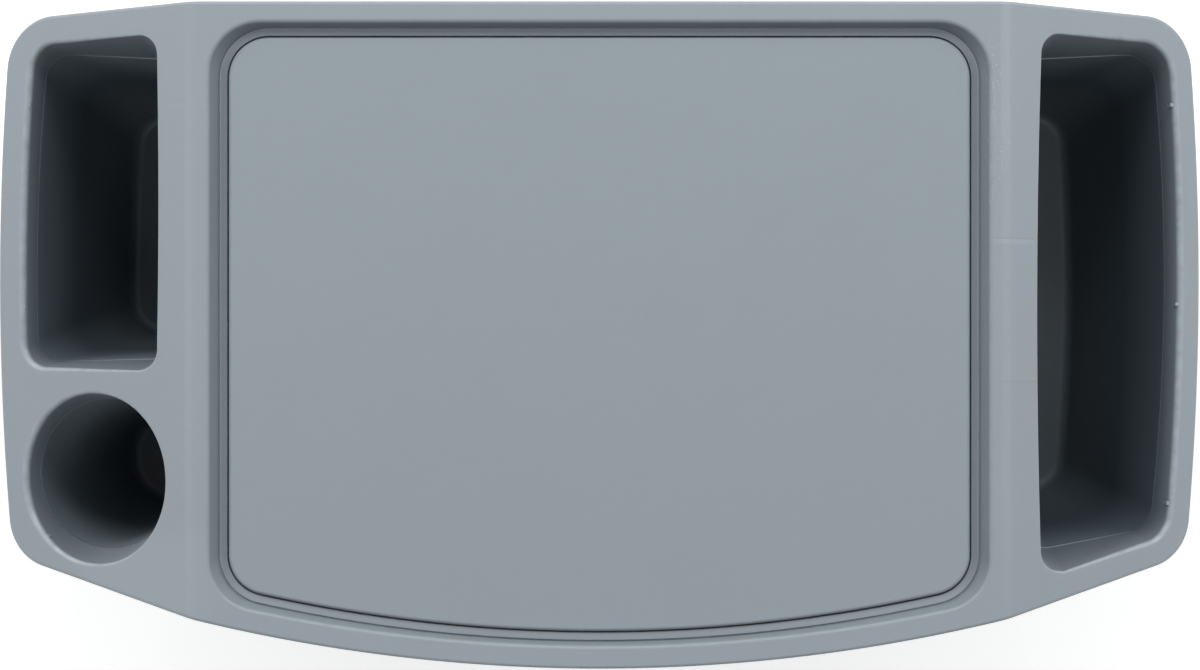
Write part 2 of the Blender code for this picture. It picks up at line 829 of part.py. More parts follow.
def bin_ears(ears):
    """The ears of one bin, each a tab with a clearance hole for its screw."""
    bm = bmesh.new()
    for ear in ears:
        plan = ear.keyhole(EAR_RADIUS, EAR_RADIUS, ear.root(ear.top - EAR_THICKNESS / 2, WALL / 2))
        hole = ear.hole(plan, SCREW_RADIUS + FIT)
        upper = Vector((0, 0, ear.top))
        lower = Vector((0, 0, ear.top - EAR_THICKNESS))
        skin(bm, [
            [place.to_3d() + upper for place in hole],
            [place.to_3d() + upper for place in plan],
            [place.to_3d() + lower for place in plan],
            [place.to_3d() + lower for place in hole],
        ], ring=True)
    return bm


def pocket_ears(well, inner_count, outer_count):
    """Ears along a pocket's inner and outer walls, the end ones set in from the pocket's ends."""
    front = min(top.y for top in well.tops) + EAR_END_INSET
    back = max(top.y for top in well.tops) - EAR_END_INSET
    middle = sum(top.x for top in well.tops) / len(well.tops)
    outward = 0.0 if well.side > 0 else math.pi
    ears = []
    for heading, count in ((outward + math.pi, inner_count), (outward, outer_count)):
        for number in range(count):
            place = front + (back - front) * number / (count - 1)
            ears.append(Ear(well, (middle, place), heading))
    return ears


def cup_ears(well):
    """Ears round the cup well, on the diagonals where the deck leaves room for them."""
    centre = cup_centre() * Vector((-1, 1))
    return [Ear(well, centre, angle) for angle in CUP_EAR_ANGLES]


def screw_mesh(material):
    """A screw that stands on its head's underside, with its shank up +Z."""
    rings = [
        (SCREW_HEAD_RADIUS - SCREW_HEAD_ROUNDING, -SCREW_HEAD_HEIGHT),
        (SCREW_HEAD_RADIUS, SCREW_HEAD_ROUNDING - SCREW_HEAD_HEIGHT),
        (SCREW_HEAD_RADIUS, 0.0),
        (SCREW_RADIUS, 0.0),
        (SCREW_RADIUS, SCREW_LENGTH - SCREW_POINT),
        (SCREW_TIP_RADIUS, SCREW_LENGTH),
    ]
    turns = [2 * math.pi * number / ROUND_SIDES for number in range(ROUND_SIDES)]
    bm = bmesh.new()
    capped(bm, [[Vector((radius * math.cos(turn), radius * math.sin(turn), height)) for turn in turns]
                for radius, height in rings])
    return finished_mesh("screw", bm, material)


def panel_heights():
    """Heights of the panel's top, the underside of its skin and the foot of its flange."""
    top = TRAY_HEIGHT - LEDGE_DROP + PANEL_PROUD
    return top, top - PANEL_SKIN, TRAY_HEIGHT - SEAT_DROP + FIT


def panel_body():
    """The panel: a plate with a soft edge and a flange all round that stands on the seat."""
    outline = panel_outline()
    top, under, foot = panel_heights()
    bm = bmesh.new()
    capped(bm, rounded([
        (outline.at(top, -GUIDE), 0),
        (outline.at(top), PANEL_EDGE_RADIUS),
        (outline.at(foot), SMALL_EDGE),
        (outline.at(foot, -PANEL_FLANGE), 0),
        (outline.at(under, -PANEL_FLANGE), 0),
        (outline.at(under, -PANEL_FLANGE - GUIDE), 0),
    ]))
    return bm


def panel_ribs():
    """Ribs under the panel that stand on the seat with its flange."""
    top, under, foot = panel_heights()
    root = PANEL_FLANGE / 2
    back = max(point.y for point in panel_outline().at(0.0, -root))
    arc = panel_front().inset(root)
    bm = bmesh.new()
    for number in range(PANEL_RIB_COUNT):
        x = PANEL_RIB_PITCH * (number - (PANEL_RIB_COUNT - 1) / 2)
        front = arc.centre.y - math.sqrt(arc.radius ** 2 - x ** 2)
        plan = [Vector((x - PANEL_RIB / 2, front, 0)), Vector((x + PANEL_RIB / 2, front, 0)),
                Vector((x + PANEL_RIB / 2, back, 0)), Vector((x - PANEL_RIB / 2, back, 0))]
        heights = ((under + top) / 2, foot)
        capped(bm, [[place + Vector((0, 0, height)) for place in plan] for height in heights])
    return bm


def finish(name, colour, roughness, metallic=0.0):
    """A plain material of one colour."""
    material = bpy.data.materials.new(name)
    material.use_nodes = True
    shader = material.node_tree.nodes["Principled BSDF"]
    shader.inputs["Base Color"].default_value = colour
    shader.inputs["Roughness"].default_value = roughness
    shader.inputs["Metallic"].default_value = metallic
    return material


def finished_mesh(name, bm, material=None):
    """A mesh with its faces outwards, smooth across all but its sharp edges."""
    bmesh.ops.recalc_face_normals(bm, faces=bm.faces)
    mesh = bpy.data.meshes.new(name)
    bm.to_mesh(mesh)
    bm.free()
    mesh.shade_smooth()
    mesh.set_sharp_from_angle(angle=SHARP_ANGLE)
    if material:
        mesh.materials.append(material)
    return mesh


def place_mesh(name, mesh, frame, origin):
    """A named object of the tray, with its own origin at a given place."""
    piece = bpy.data.objects.new(name, mesh)
    piece.location = origin
    piece.parent = frame
    bpy.context.scene.collection.objects.link(piece)
    return piece


def place_body(name, bm, frame, origin, material=None):
    """A named object from a body that is modelled where it belongs in the tray."""
    bmesh.ops.translate(bm, verts=bm.verts, vec=-Vector(origin))
    return place_mesh(name, finished_mesh(name, bm, material), frame, origin)


def combine(piece, name, bm, frame, operation="UNION"):
    """Joins more shapes to a piece, or cuts them from it, with an exact Boolean."""
    shapes = place_body(name, bm, frame, piece.location)
    shapes.hide_render = True
    shapes.display_type = "WIRE"
    modifier = piece.modifiers.new(name, "BOOLEAN")
    modifier.operation = operation
    modifier.solver = "EXACT"
    modifier.object = shapes


def foot_centre(well):
    """The middle of a well's floor in plan, where its bin has its origin."""
    return sum(well.feet, Vector()).xy.to_3d() / len(well.feet)


def build():
    """Makes every piece of the tray."""
    for old in list(bpy.data.objects):
        bpy.data.objects.remove(old)
    frame = bpy.data.objects.new("tray_frame", None)
    bpy.context.scene.collection.objects.link(frame)

    left, right, cup = left_pocket(), right_pocket(), cup_well()
    bins = [
        ("left_pocket", left, pocket_ears(left, 2, 2)),
        ("right_pocket", right, pocket_ears(right, 3, 3)),
        ("cup_well", cup, cup_ears(cup)),
    ]
    wells = [well for name, well, ears in bins]
    all_ears = [ear for name, well, ears in bins for ear in ears]

    screw = screw_mesh(finish("screw_steel", ZINC, ZINC_ROUGHNESS, metallic=1.0))
    deck = place_body("tray_deck", deck_body(wells), frame, (0, 0, seam_height()),
                      finish("deck_plastic", DECK_GREY, DECK_ROUGHNESS))
    combine(deck, "deck_screw_bosses", screw_bosses(all_ears), frame)
    combine(deck, "deck_boss_webs", boss_webs(all_ears), frame)
    combine(deck, "deck_gussets", gussets([left, right]), frame)
    combine(deck, "deck_pilot_holes", pilot_holes(all_ears), frame, "DIFFERENCE")

    for name, well, ears in bins:
        body_name = name if name == "cup_well" else name + "_bin"
        body = place_body(body_name, bin_body(well), frame, foot_centre(well),
                          finish(name + "_plastic", DECK_GREY, DECK_ROUGHNESS))
        combine(body, name + "_ear_tabs", bin_ears(ears), frame)
        for number, ear in enumerate(ears, 1):
            place_mesh(f"{name}_screw_{number}", screw, frame, ear.screw_seat())

    panel_foot = panel_heights()[-1]
    panel = place_body("centre_panel", panel_body(), frame, (0, 0, panel_foot),
                       finish("panel_plastic", PANEL_GREY, PANEL_ROUGHNESS))
    combine(panel, "panel_rib_bars", panel_ribs(), frame)


build()
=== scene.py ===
"""A moulded bed tray on a pale floor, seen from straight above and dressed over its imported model.

Metres, +Z up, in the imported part's own frame: the origin is on the floor, under the middle of the tray.
+X is the right-hand side of the person who uses the tray, and +Y its straight back edge.
"""

import json
import logging
import math
from collections.abc import Callable, Iterable, Sequence
from dataclasses import dataclass, field
from enum import Enum
from typing import NamedTuple, Union

import bmesh
import bpy
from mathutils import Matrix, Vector
from mathutils.geometry import delaunay_2d_cdt


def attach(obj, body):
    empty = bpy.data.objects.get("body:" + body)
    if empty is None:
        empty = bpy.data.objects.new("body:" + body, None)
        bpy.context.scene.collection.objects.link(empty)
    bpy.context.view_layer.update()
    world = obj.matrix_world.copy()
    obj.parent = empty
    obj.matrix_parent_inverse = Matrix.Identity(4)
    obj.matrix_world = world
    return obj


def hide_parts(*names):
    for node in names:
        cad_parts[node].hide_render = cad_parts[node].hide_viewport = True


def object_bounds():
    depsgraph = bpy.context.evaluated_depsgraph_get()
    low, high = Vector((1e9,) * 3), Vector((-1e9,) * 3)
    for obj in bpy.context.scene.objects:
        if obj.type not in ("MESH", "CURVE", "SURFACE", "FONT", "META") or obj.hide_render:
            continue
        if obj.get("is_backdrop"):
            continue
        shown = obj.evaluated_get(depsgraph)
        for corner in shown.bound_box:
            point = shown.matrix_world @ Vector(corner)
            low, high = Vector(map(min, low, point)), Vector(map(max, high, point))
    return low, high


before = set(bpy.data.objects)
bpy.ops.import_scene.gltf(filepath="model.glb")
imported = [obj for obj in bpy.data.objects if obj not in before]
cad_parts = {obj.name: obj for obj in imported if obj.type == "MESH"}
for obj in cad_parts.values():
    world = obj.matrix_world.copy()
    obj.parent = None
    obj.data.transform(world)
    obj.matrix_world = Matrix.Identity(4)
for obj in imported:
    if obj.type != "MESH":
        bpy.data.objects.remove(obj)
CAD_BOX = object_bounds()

log = logging.getLogger("bed_tray")

SAME_PLACE = 1e-6
# Mesh attributes: paleness from rubbing, also used for painted highlights along edges, and painted shade
WEAR_AND_HIGHLIGHT = "wear"
PAINTED_SHADE = "shelter"
WHITE = (1.0, 1.0, 1.0, 1.0)
FLIP = Vector((-1, 1))

# How finely round shapes are divided
CORNER_STEPS = 16
ARC_STEPS = 40
FRONT_ARC_STEPS = 96
BEND_STEPS = 12
FILLET_STEPS = 8
SMALL_FILLET_STEPS = 4
ROUND_SIDES = 28
CUP_SIDES = 112

# A loop this far beside each rounding keeps the flat past it flat, and another beside the wings' bends
SUPPORT = 0.001
BEND_SUPPORT = 0.0003

# The most of a side that a rounding takes up, and how much of what is left goes to its support
FILLET_SHARE = 0.49
SUPPORT_SHARE = 0.8

SHARP_ANGLE = math.radians(35.0)

Number = Union[float, "Wire"]
Colour = tuple[float, float, float]
Surface = Callable[[float], float]
Mark = tuple[Vector, Vector]


class Side(Enum):
    """A side of the tray, as the person who uses it sees it."""

    LEFT = -1
    RIGHT = 1


class Slot(Enum):
    """The record's material slots."""

    DECK = "deck_plastic"
    PANEL = "panel_plastic"
    LEFT_POCKET = "left_pocket_plastic"
    RIGHT_POCKET = "right_pocket_plastic"
    CUP_WELL = "cup_well_plastic"
    SCREW = "screw_steel"


class Body(Enum):
    """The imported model's bodies."""

    TRAY = "tray"
    PANEL = "panel"


# Places and objects


def direction(angle: float) -> Vector:
    """The direction in plan at an angle from +X."""
    return Vector((math.cos(angle), math.sin(angle)))


def share_of(value: float, low: float, high: float) -> float:
    """How far a value has come from low to high, from 0 to 1."""
    return min(max((value - low) / (high - low), 0.0), 1.0)


def lifted(places: Iterable[Vector], height: float) -> list[Vector]:
    """Places in plan, all at one height."""
    return [place.to_3d() + Vector((0, 0, height)) for place in places]


def laid(places: Iterable[Vector], surface: Surface) -> list[Vector]:
    """Places in plan, on a surface whose height depends on the place across the tray."""
    return [Vector((place.x, place.y, surface(place.x))) for place in places]


def linked(name: str, data: bpy.types.ID) -> bpy.types.Object:
    """A new object in the scene.

    Args:
        name: Its name.
        data: What it shows.

    Returns:
        The object.
    """
    made = bpy.data.objects.new(name, data)
    bpy.context.scene.collection.objects.link(made)
    return made


def smoothed(mesh: bpy.types.Mesh) -> None:
    """Shades a mesh smooth across all but its sharp edges."""
    mesh.shade_smooth()
    mesh.set_sharp_from_angle(angle=SHARP_ANGLE)


# Node trees


def operator(operation: str, reflected: bool = False) -> Callable[["Wire", Number], "Wire"]:
    """A method of Wire that adds one Math node.

    Args:
        operation: What the node does.
        reflected: Whether the other value comes first.

    Returns:
        The method.
    """

    def method(wire: "Wire", other: Number) -> "Wire":
        """This value and another one, taken together."""
        return wire.math(operation, *((other, wire) if reflected else (wire, other)))

    return method


class Wire:
    """A node's output that takes part in sums, so that an expression on values adds its Math nodes."""

    __add__, __radd__ = operator("ADD"), operator("ADD", True)
    __sub__, __rsub__ = operator("SUBTRACT"), operator("SUBTRACT", True)
    __mul__, __rmul__ = operator("MULTIPLY"), operator("MULTIPLY", True)
    __truediv__, __rtruediv__ = operator("DIVIDE"), operator("DIVIDE", True)
    above = operator("GREATER_THAN")
    most = operator("MAXIMUM")

    def __init__(self, graph: "Graph", socket: bpy.types.NodeSocket) -> None:
        """Wraps one output of a graph."""
        self.graph = graph
        self.socket = socket

    def other(self, key: str | int) -> "Wire":
        """Another output of the same node, by its name or number."""
        return Wire(self.graph, self.socket.node.outputs[key])

    def math(self, operation: str, *values: Number) -> "Wire":
        """The value of a new Math node with these inputs."""
        return self.graph.node("ShaderNodeMath", {"operation": operation}, dict(enumerate(values)))

    def __abs__(self) -> "Wire":
        """This without its sign."""
        return self.math("ABSOLUTE", self)

    def root(self) -> "Wire":
        """The square root of this."""
        return self.math("SQRT", self)

    def ramp(self, low: float, high: float) -> "Wire":
        """This value taken smoothly from 0 to 1.

        Args:
            low: Where it is 0.
            high: Where it is 1.

        Returns:
            The ramp.
        """
        settings = {"interpolation_type": "SMOOTHSTEP", "clamp": True}
        values = {"Value": self, "From Min": low, "From Max": high}
        return self.graph.node("ShaderNodeMapRange", settings, values)


class Graph:
    """A node tree that is being filled."""

    def __init__(self, tree: bpy.types.NodeTree) -> None:
        """Starts from a tree and empties it."""
        self.tree = tree
        tree.nodes.clear()

    def node(self, kind: str, settings: dict | None = None, inputs: dict | None = None) -> Wire:
        """Adds one node.

        Args:
            kind: The node's type.
            settings: Its own properties, set before its sockets.
            inputs: By name or number, a value or a Wire for each input, or a list of Wires for one input.

        Returns:
            The node's first output that is in use, or its first input's stand-in for a node without one.
        """
        made = self.tree.nodes.new(kind)
        for name, value in (settings or {}).items():
            setattr(made, name, value)
        for key, value in (inputs or {}).items():
            for part in value if isinstance(value, list) else [value]:
                if isinstance(part, Wire):
                    self.tree.links.new(part.socket, made.inputs[key])
                else:
                    made.inputs[key].default_value = part
        outputs = [output for output in made.outputs if output.enabled] or list(made.inputs)
        return Wire(self, outputs[0])

    def noise(self, place: Wire, size: float, detail: float = 2.0, roughness: float = 0.5) -> Wire:
        """Even noise about 0.5.

        Args:
            place: The coordinates that it reads.
            size: The size of its patches in metres.
            detail: How many finer layers it has.
            roughness: How strong those are.

        Returns:
            The noise.
        """
        values = {"Vector": place, "Scale": 1.0 / size, "Detail": detail, "Roughness": roughness}
        return self.node("ShaderNodeTexNoise", {"noise_dimensions": "3D"}, values)

    def stretched(self, place: Wire, scale: Sequence[float]) -> Wire:
        """The coordinates, scaled by a different amount along each axis."""
        return self.node("ShaderNodeMapping", {"vector_type": "POINT"}, {"Vector": place, "Scale": scale})

    def blend(self, share: Number, first: object, second: object) -> Wire:
        """A mix of two colours, with a share of the second one."""
        return self.node("ShaderNodeMix", {"data_type": "RGBA"}, {0: share, 6: first, 7: second}).other(2)

    def split(self, place: Wire) -> tuple[Wire, Wire, Wire]:
        """The three numbers of a vector."""
        x = self.node("ShaderNodeSeparateXYZ", inputs={"Vector": place})
        return x, x.other("Y"), x.other("Z")

    def bumps(self, height: Wire) -> Wire:
        """The normals of a surface with small heights, in metres, on it."""
        return self.node("ShaderNodeBump", inputs={"Strength": 1.0, "Distance": 1.0, "Height": height})

    def in_view(self) -> Wire:
        """1 for what the camera sees straight, in a gloss or through glass, and 0 for other light."""
        rays = self.node("ShaderNodeLightPath")
        return rays.most(rays.other("Is Glossy Ray")).most(rays.other("Is Transmission Ray"))


# Finishes


def mixed(colour: Sequence[float], factor: float) -> tuple[float, float, float, float]:
    """A colour with its brightness multiplied by a factor."""
    return (colour[0] * factor, colour[1] * factor, colour[2] * factor, 1.0)


@dataclass(frozen=True)
class Finish:
    """What a piece is made of, to look at."""

    name: str

    def made(self) -> bpy.types.Material:
        """Builds the material.

        Returns:
            The material.
        """
        material = bpy.data.materials.new(self.name)
        material.use_nodes = True
        graph = Graph(material.node_tree)
        shader = self.shader(graph, graph.node("ShaderNodeTexCoord").other("Object"))
        graph.node("ShaderNodeOutputMaterial", inputs={"Surface": shader})
        return material


@dataclass(frozen=True)
class Patch:
    """A place on the tray that a mark covers, fading out over part of its half sizes.

    Its strength is from 0 to 1, and its rise, how far it stands up, is in metres.
    """

    x: float
    y: float
    half_x: float
    half_y: float
    strength: float = 1.0
    rise: float = 0.0
    fade: float = 0.6

    def mask(self, x: Wire, y: Wire) -> Wire:
        """How strongly the mark shows, from 0 to 1.

        Args:
            x: The place across the tray.
            y: The place from front to back.

        Returns:
            The mask.
        """
        across = 1.0 - abs(x - self.x) / self.half_x
        along = 1.0 - abs(y - self.y) / self.half_y
        return across.ramp(0.0, self.fade) * along.ramp(0.0, self.fade)


@dataclass(frozen=True)
class SatinPlastic(Finish):
    """Moulded plastic with a fine satin grain, slightly uneven in tone.

    Its edges are paler where rubbed and where highlights are painted on, and painted shade darkens it where
    the mesh asks: deep in the wells, in the recess's channel and along the panel's edge.
    The gains say how much brighter than the plastic a mark is where it is strongest.
    """

    colour: Colour
    roughness: float
    ior: float = 1.46
    blotch: float = 0.010
    blotch_gain: float = 1.2
    mottle: float = 0.008
    blotch_size: float = 0.045
    mottle_size: float = 0.0065
    grain_size: float = 0.0005
    grain_depth: float = 0.0000025
    wave_size: float = 0.012
    wave_depth: float = 0.000004
    speck_spacing: float = 0.034
    speck_radius: float = 0.00035
    speck_share: float = 0.86
    speck_strength: float = 0.35
    speck_gain: float = 2.0
    # Paleness where edges are rubbed, which the mesh also uses for painted highlights on lips, ledge edges
    # and the bins' seam step
    wear_and_highlight_strength: float = 0.12
    wear_and_highlight_gain: float = 1.7
    chafe_limit: float = 0.8
    # The dark colour that painted shade blends the plastic towards
    painted_shade_colour: Colour = (0.049, 0.068, 0.085)
    fleck_size: float = 0.0011
    fleck_limits: tuple[float, float] = (0.68, 0.78)
    fleck_gain: float = 2.0
    streak_stretch: tuple[float, float, float] = (1600.0, 130.0, 400.0)
    streak_limits: tuple[float, float] = (0.58, 0.72)
    streak_everywhere: float = 0.06
    scuff_strength: float = 0.26
    scuff_gain: float = 1.9
    scuff_rise: float = 0.000006
    rough_swings: tuple[float, float, float, float] = (0.10, 0.06, 0.06, 0.08)
    scuffs: tuple[Patch, ...] = ()
    # Paler patches: painted highlights along the two bends and on the lit side of a ridge, and a paler patch
    # on a wing
    pale: tuple[Patch, ...] = ()
    sinks: tuple[Patch, ...] = ()

    def shader(self, graph: Graph, place: Wire) -> Wire:
        """The plastic's nodes.

        Args:
            graph: The material's nodes.
            place: The coordinates.

        Returns:
            The shader.
        """
        x, y, _ = graph.split(place)
        blotch = graph.noise(place, self.blotch_size)
        mottle = graph.noise(place, self.mottle_size, 3.0)
        wear = graph.node("ShaderNodeAttribute", {"attribute_name": WEAR_AND_HIGHLIGHT}).other("Fac")
        shelter = graph.node("ShaderNodeAttribute", {"attribute_name": PAINTED_SHADE}).other("Fac")
        chafe_and_highlight = wear * mottle.ramp(0.0, self.chafe_limit)
        scuff = self.scratches(graph, place, x, y)

        tone = 0.5 + (blotch - 0.5) * self.blotch_gain + (mottle - 0.5) * (self.mottle / self.blotch)
        spread = 2.0 * self.blotch
        colour = graph.blend(tone, mixed(self.colour, 1.0 - spread), mixed(self.colour, 1.0 + spread))
        # Painted shade: a blend towards a dark colour by the mesh's painted-shade attribute
        colour = graph.blend(shelter, colour, mixed(self.painted_shade_colour, 1.0))
        # Paler marks: rubbed edges with painted highlights, specks, paler patches that are mostly painted
        # highlights, and scuffs
        marks = [
            (chafe_and_highlight * self.wear_and_highlight_strength, self.wear_and_highlight_gain),
            (self.specks(graph, place) * self.speck_strength, self.speck_gain),
            *((patch.mask(x, y) * patch.strength, self.wear_and_highlight_gain) for patch in self.pale),
            (scuff * self.scuff_strength, self.scuff_gain),
        ]
        for share, gain in marks:
            colour = graph.blend(share, colour, mixed(self.colour, gain))

        by_mottle, by_blotch, by_chafe, by_scuff = self.rough_swings
        rough = self.roughness + (mottle - 0.5) * by_mottle + (blotch - 0.5) * by_blotch
        rough = rough - chafe_and_highlight * by_chafe - scuff * by_scuff
        grain = graph.noise(place, self.grain_size, 2.0, 0.6)
        wave = graph.noise(place, self.wave_size, 1.0)
        height = (grain - 0.5) * self.grain_depth + (wave - 0.5) * self.wave_depth + scuff * self.scuff_rise
        for sink in self.sinks:
            height = height + sink.mask(x, y) * sink.rise
        sockets = {"Base Color": colour, "Roughness": rough, "Normal": graph.bumps(height), "IOR": self.ior}
        return graph.node("ShaderNodeBsdfPrincipled", inputs=sockets)

    def specks(self, graph: Graph, place: Wire) -> Wire:
        """Tiny pale specks, few and far between.

        Args:
            graph: The material's nodes.
            place: The coordinates.

        Returns:
            The specks' mask.
        """
        values = {"Vector": place, "Scale": 1.0 / self.speck_spacing, "Randomness": 1.0}
        cell = graph.node("ShaderNodeTexVoronoi", {"feature": "F1"}, values)
        chance, _, _ = graph.split(cell.other("Color"))
        edge = self.speck_radius / self.speck_spacing
        return (1.0 - cell.ramp(edge * 0.5, edge)) * chance.above(self.speck_share)

    def scratches(self, graph: Graph, place: Wire, x: Wire, y: Wire) -> Wire:
        """Short scuffs that run from front to back, in the places that get rubbed.

        Args:
            graph: The material's nodes.
            place: The coordinates.
            x: The place across the tray.
            y: The place from front to back.

        Returns:
            The scuffs' mask.
        """
        streaks = graph.noise(graph.stretched(place, self.streak_stretch), 1.0, 3.0, 0.6)
        lines = streaks.ramp(*self.streak_limits)
        flecks = graph.noise(place, self.fleck_size, 1.0).ramp(*self.fleck_limits)
        marks = lines.most(flecks * self.fleck_gain)
        total = lines * self.streak_everywhere
        for scuff in self.scuffs:
            total = total.most(scuff.mask(x, y) * marks * scuff.strength)
        return total


@dataclass(frozen=True)
class ZincPlate(Finish):
    """Zinc-plated steel, a little clouded and scratched where the driver turned it."""

    name: str = "zinc_plate"
    colour: Colour = (0.62, 0.62, 0.60)
    tones: tuple[float, float] = (0.86, 1.12)
    roughness: float = 0.34
    rough_swings: tuple[float, float] = (0.2, 0.1)
    cloud_size: float = 0.0016
    scratch_stretch: tuple[float, float, float] = (9000.0, 1500.0, 1500.0)
    scratch_depth: float = 0.000004

    def shader(self, graph: Graph, place: Wire) -> Wire:
        """The plating's nodes.

        Args:
            graph: The material's nodes.
            place: The coordinates.

        Returns:
            The shader.
        """
        cloud = graph.noise(place, self.cloud_size, 3.0)
        fine = graph.noise(graph.stretched(place, self.scratch_stretch), 1.0, 2.0)
        colour = graph.blend(cloud, *(mixed(self.colour, tone) for tone in self.tones))
        by_cloud, by_scratch = self.rough_swings
        rough = self.roughness + (cloud - 0.5) * by_cloud + (fine - 0.5) * by_scratch
        normal = graph.bumps(fine * self.scratch_depth)
        sockets = {"Base Color": colour, "Metallic": 1.0, "Roughness": rough, "Normal": normal}
        return graph.node("ShaderNodeBsdfPrincipled", inputs=sockets)


@dataclass(frozen=True)
class PaleFloor(Finish):
    """A white studio floor, which the camera sees as white but for the tray's soft shadow."""

    name: str = "studio_floor"
    shade: float = 0.80
    unevenness: float = 0.005
    patch_size: float = 0.2
    lift: float = 0.55
    roughness: float = 0.8

    def shader(self, graph: Graph, place: Wire) -> Wire:
        """The floor's nodes.

        Args:
            graph: The material's nodes.
            place: The coordinates.

        Returns:
            The shader.
        """
        grey = mixed(WHITE, self.shade)
        tone = graph.blend(graph.noise(place, self.patch_size), mixed(grey, 1.0 - self.unevenness), grey)
        plain = graph.node("ShaderNodeBsdfDiffuse", inputs={"Color": tone, "Roughness": self.roughness})
        glow = graph.node("ShaderNodeEmission", inputs={"Color": WHITE, "Strength": self.lift})
        both = graph.node("ShaderNodeAddShader", inputs={0: plain, 1: glow})
        return graph.node("ShaderNodeMixShader", inputs={0: graph.in_view(), 1: plain, 2: both})


# Outlines in plan


def turned(centre: Vector, start: Vector, end: Vector, steps: int) -> list[Mark]:
    """Points anticlockwise round a centre.

    Args:
        centre: The centre.
        start: The first point.
        end: The last point.
        steps: How many parts the turn has.

    Returns:
        The points, each with its outward direction.
    """
    arm = start - centre
    sweep = -arm.angle_signed(end - centre)
    marks = []
    for step in range(steps + 1):
        cosine, sine = math.cos(sweep * step / steps), math.sin(sweep * step / steps)
        spoke = Vector((arm.x * cosine - arm.y * sine, arm.x * sine + arm.y * cosine))
        marks.append((centre + spoke, spoke.normalized()))
    return marks


def straight(out: Vector) -> Vector:
    """The step forwards or back that moves an edge by one unit along its own direction out."""
    return Vector((0, 1 / out.y))


@dataclass(frozen=True)
class Line:
    """A straight edge in plan, run with the inside on its left. Its stops are places across the tray."""

    point: Vector
    heading: float
    stops: tuple[float, ...] = ()

    @property
    def along(self) -> Vector:
        """The direction that the edge runs in."""
        return direction(self.heading)

    @property
    def out(self) -> Vector:
        """The direction out of the outline."""
        return Vector((self.along.y, -self.along.x))

    def inset(self, distance: float) -> "Line":
        """The same edge further in."""
        return Line(self.point - self.out * distance, self.heading)

    def touch(self, centre: Vector) -> Vector:
        """The place on the edge that is nearest to a centre."""
        return self.point + self.along * (centre - self.point).dot(self.along)

    def outward(self, place: Vector) -> Vector:
        """The direction out of the outline at a place."""
        return self.out

    def between(self, start: Vector, end: Vector) -> list[Mark]:
        """The points where the edge, from start to end, crosses its stops. They stay there at any spread."""
        shares = sorted((stop - start.x) / (end - start).x for stop in self.stops)
        return [(start.lerp(end, share), straight(self.out)) for share in shares if 0 < share < 1]


@dataclass(frozen=True)
class Arc:
    """A round edge in plan that bulges outwards, run anticlockwise. Its stops are places across the tray."""

    centre: Vector
    radius: float
    steps: int = ARC_STEPS
    stops: tuple[float, ...] = ()

    def inset(self, distance: float) -> "Arc":
        """The same edge further in."""
        return Arc(self.centre, self.radius - distance)

    def touch(self, centre: Vector) -> Vector:
        """The place on the edge that is in line with a centre."""
        return self.centre + (centre - self.centre).normalized() * self.radius

    def outward(self, place: Vector) -> Vector:
        """The direction out of the outline at a place."""
        return (place - self.centre).normalized()

    def between(self, start: Vector, end: Vector) -> list[Mark]:
        """Even points between the ends, and for an arc along the front those where it crosses its stops.

        Args:
            start: Where the edge starts.
            end: Where it ends.

        Returns:
            The points, each with its outward direction. An arc with stops keeps them all in their
            places across the tray at any spread.
        """
        marks = turned(self.centre, start, end, self.steps)[1:-1]
        if not self.stops:
            return marks
        places = [place for place, _ in marks]
        for stop in self.stops:
            if start.x < stop < end.x:
                depth = math.sqrt(self.radius**2 - (stop - self.centre.x) ** 2)
                places.append(Vector((stop, self.centre.y - depth)))
        places.sort(key=lambda place: place.x)
        return [(place, straight(self.outward(place))) for place in places]


Edge = Union[Line, Arc]


def meeting(first: Edge, second: Edge, near: Vector | None = None) -> Vector:
    """Where a straight edge meets another edge.

    Args:
        first: An edge.
        second: Another one. At least one of the two is straight.
        near: The crossing closest to this is the one that is meant.

    Returns:
        The place.
    """
    if isinstance(first, Arc):
        first, second = second, first
    if isinstance(second, Line):
        share = (second.point - first.point).dot(second.out) / first.along.dot(second.out)
        return first.point + first.along * share
    apart = first.point - second.centre
    half = apart.dot(first.along)
    root = math.sqrt(half * half - apart.dot(apart) + second.radius**2)
    crossings = [first.point + first.along * (root - half), first.point - first.along * (root + half)]
    return min(crossings, key=lambda place: (place - near).length)


@dataclass(frozen=True)
class Outline:
    """A closed line in plan, as points that each have an outward direction."""

    marks: list[Mark]

    @classmethod
    def joined(cls, edges: Sequence[Edge], corners: Sequence[tuple[float, Sequence[float]]]) -> "Outline":
        """Joins edges in a ring.

        Args:
            edges: The edges, anticlockwise.
            corners: The radius and the rough place of the corner after each edge. A radius of 0 is a
                smooth join at exactly that place, which it keeps across the tray at any spread.

        Returns:
            The outline.
        """
        bends = []
        for edge, following, (radius, near) in zip(edges, [*edges[1:], edges[0]], corners):
            near = Vector(near)
            if radius:
                centre = meeting(edge.inset(radius), following.inset(radius), near)
                bends.append(turned(centre, edge.touch(centre), following.touch(centre), CORNER_STEPS))
            else:
                bends.append([(near, straight(edge.outward(near)))])
        marks = []
        for number, edge in enumerate(edges):
            marks += edge.between(bends[number - 1][-1][0], bends[number][0][0]) + bends[number]
        return cls(marks)

    def mirrored(self) -> "Outline":
        """The same outline on the other side of the tray."""
        return Outline([(place * FLIP, out * FLIP) for place, out in reversed(self.marks)])

    def spread(self, distance: float) -> list[Vector]:
        """The outline's points, moved outwards."""
        return [place + out * distance for place, out in self.marks]

    def at(self, height: float, distance: float = 0.0) -> list[Vector]:
        """The outline at one height, moved outwards."""
        return lifted(self.spread(distance), height)

    def on(self, surface: Surface, distance: float = 0.0) -> list[Vector]:
        """The outline laid on a surface, moved outwards."""
        return laid(self.spread(distance), surface)


